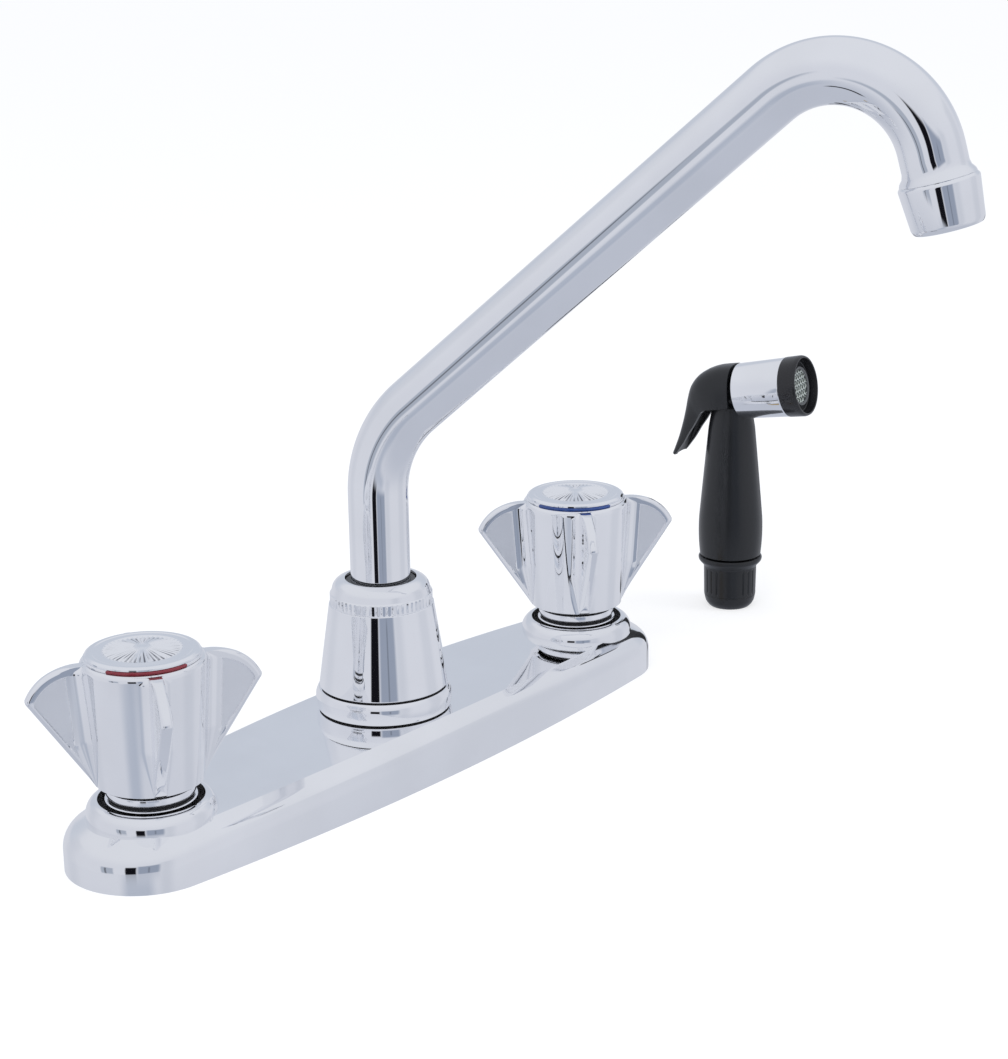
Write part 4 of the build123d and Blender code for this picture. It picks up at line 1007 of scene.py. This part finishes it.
def weave(bm):
    """Two crossing sets of wires, each a small ring that travels in even steps."""
    rows = int(screen_r / screen_pitch)
    for row in range(-rows, rows + 1):
        offset = row * screen_pitch
        half = math.sqrt(screen_r**2 - offset**2)
        steps = max(4, 2 * round(4 * half / screen_pitch / 2))
        for crossing in (False, True):
            ring = bmesh.ops.create_circle(bm, cap_ends=False, segments=6, radius=wire_r * mm)["verts"]
            bmesh.ops.rotate(bm, verts=ring, cent=(0, 0, 0), matrix=Matrix.Rotation(math.pi / 2, 3, "Y"))
            bmesh.ops.translate(bm, verts=ring, vec=Vector((-half, offset, screen_z)) * mm)
            wire = list(ring)
            loop = list({edge for vert in ring for edge in vert.link_edges})
            for step in range(steps):
                grown = bmesh.ops.extrude_edge_only(bm, edges=loop)
                ring, loop = fresh(grown, bmesh.types.BMVert), fresh(grown, bmesh.types.BMEdge)
                bmesh.ops.translate(bm, verts=ring, vec=Vector((2 * half / steps, 0, 0)) * mm)
                wire += ring
            for vert in wire:
                wave = math.cos(math.pi * (vert.co.x / mm / screen_pitch + row))
                vert.co.z += wave * (1 if crossing else -1) * wire_r * mm
            if crossing:
                bmesh.ops.rotate(bm, verts=wire, cent=(0, 0, 0), matrix=Matrix.Rotation(math.pi / 2, 3, "Z"))
    bmesh.ops.holes_fill(bm, edges=[edge for edge in bm.edges if len(edge.link_faces) == 1], sides=0)
    bm.transform(Matrix.Rotation(math.radians(45.0), 4, "Z"))


def make_nozzle():
    place = along(head_at, head_way, head_side)
    ring = section((6.8, 23.2), (11.1, 23.2, 0.15), (11.3, 29.3, 0.7), (10.8, 30.0, 0.35),
                   (10.2, 30.0, 0.25), (9.7, 26.6, 0.4), (6.8, 26.6))
    make_piece("nozzle_moulded", spin_round(ring), "sprayer", "black_plastic", [black_gloss],
               ["sprayer_nozzle_ring"], place=place)
    holder = section((6.2, 24.8), (7.2, 24.8), (7.2, 28.0, 0.25), (6.75, 28.1, 0.15), (6.4, 27.7, 0.1),
                     (6.2, 27.7))
    make_piece("screen_holder", spin_round(holder, 96), "sprayer", "grey_plastic", [holder_grey],
               ["sprayer_screen_ring"], place=place)
    # the black disc behind the screen is painted shade
    bm = bmesh.new()
    bmesh.ops.create_circle(bm, cap_ends=True, segments=64, radius=screen_r * mm)
    raised = bmesh.ops.extrude_face_region(bm, geom=bm.faces[:], use_keep_orig=True)
    bmesh.ops.translate(bm, verts=fresh(raised, bmesh.types.BMVert), vec=(0, 0, shadow_thick * mm))
    bmesh.ops.translate(bm, verts=bm.verts, vec=(0, 0, shadow_z * mm))
    make_piece("screen_shadow", bm, "sprayer", "black_plastic", [black_gloss], place=place)
    bm = bmesh.new()
    weave(bm)
    make_piece("screen_woven", bm, "sprayer", "screen_steel", [screen_steel], ["sprayer_screen"],
               place=place)


make_nozzle()

# %% [markdown]
# ## The sprayer's band and hose nut
# The band is a plated sleeve that widens a little to the front. The nut that joins the hose is gripped by
# four groups of three flutes. It is turned with one step to each degree, and then the points at each flute
# are pressed in, which leaves the rest of the nut a clean surface of revolution.

# %% Band and hose nut
flute_groups, flute_spread, flute_deep = (45, 135, 225, 315), 15, 0.4
flute_shape = (1.0, 0.8, 0.3)     # how deep, at each degree from a flute's middle
grip_r, grip_low, grip_high = 9.75, 5.7, 15.2


def make_band():
    sleeve = section((9.4, 4.0), (10.35, 4.0, 0.3), (10.95, 22.9, 0.25), (10.8, 23.2), (9.4, 23.2))
    make_piece("band_plated", spin_round(sleeve, 160), "sprayer", "chrome", [chrome], ["sprayer_band"],
               place=along(head_at, head_way, head_side))


def make_hose_nut():
    facing = round(math.degrees(math.atan2(camera_at.y - sprayer_at.y, camera_at.x - sprayer_at.x)))
    nut = section((4.6, 0), (7.6, 0), (9.1, 1.4, 1.3), (9.75, 4.5, 0.2), (9.6, 4.65), (9.6, 4.85),
                  (9.8, 5.0), (9.8, 5.6), (9.8, 6.3), (9.95, 14.6), (9.95, 15.3), (9.95, 16.0, 0.3),
                  (11.9, 18.2, 0.4), (12.05, 19.4, 0.3), (11.6, 19.8), (8.25, 19.8), (8.25, 9.4), (4.6, 9.4))
    bm = spin_round(nut, 360)
    for vert in bm.verts:
        radius, height = math.hypot(vert.co.x, vert.co.y) / mm, vert.co.z / mm
        if radius > grip_r and grip_low < height < grip_high:
            degrees = round(math.degrees(math.atan2(vert.co.y, vert.co.x))) - facing
            for group in flute_groups:
                away = (degrees - group + 180) % 360 - 180
                nearest = min(abs(away - step) for step in (-flute_spread, 0, flute_spread))
                if nearest < len(flute_shape):
                    vert.co.xy *= 1 - flute_deep * flute_shape[int(nearest)] / radius
    make_piece("hose_nut_fluted", bm, "sprayer", "black_plastic", [black_plastic], ["sprayer_hose_nut"],
               place=at(sprayer_at))


make_band()
make_hose_nut()

# %% [markdown]
# ## The CAD pieces that stay
# Valve pieces, seals and fixings already have their shape. Each gets the finish of its material slot, and
# two modifiers that join the loose triangles and keep true corners sharp. The collar under each knob is one
# piece with plated rings and grooves darkened as painted shade, so its material changes with the distance
# from the stem's axis.

# %% Finishes for the nodes that stay
slot_finish = {"chrome": chrome, "brass": brass, "copper": copper, "black_rubber": rubber_and_painted_gap_shade,
               "black_plastic": black_plastic, "grey_plastic": grey_plastic, "red_ring": red_enamel,
               "blue_ring": blue_enamel, "button": star_chrome, "steel": steel, "screen_steel": screen_steel}
groove_end, plating_start = 12.45, 12.65     # radii of the collars' grooves and of their plated rings


def collar_plating_and_painted_groove_shade(side):
    """Plated rings, with painted shade in the grooves between them."""
    material, make = new_material(f"collar_{side}")
    place, distance, turn = round_place(make, middle(f"stem_{side}"))
    outer = distance.step(groove_end * mm, plating_start * mm)
    grain = make.add("ShaderNodeTexNoise", None, place, Scale=900.0)
    # inside groove_end the collar is near black and not metallic: painted shade in its grooves
    make.surface(Metallic=outer, Roughness=0.5 - outer * 0.45 + grain * 0.03,
                 **{"Base Color": make.mix(outer, (0.012, 0.012, 0.014), (0.95, 0.955, 0.97))})
    return material


node_slot = {part["node"]: part["material_slot"] for part in frame["record"]["subparts"]}
node_finish = {f"bonnet_{side}": collar_plating_and_painted_groove_shade(side) for side in ("hot", "cold")}
for name, node in frame["nodes"].items():
    node.data.materials.clear()
    node.data.materials.append(node_finish.get(name, slot_finish[node_slot[name]]))
    for face in node.data.polygons:
        face.use_smooth = True
    weld = node.modifiers.new("join_triangles", "WELD")
    weld.merge_threshold = 2 * weld_distance
    corners = node.modifiers.new("keep_corners", "EDGE_SPLIT")
    corners.split_angle = math.radians(30)
print(len(frame["nodes"]), "nodes have their finish")

# %% [markdown]
# ## The view transform
# The dressed model has to stay inside the imported one. The plain view transform shows each colour about
# as it was written.

# %% View transform
bpy.context.scene.view_settings.view_transform = "Standard"
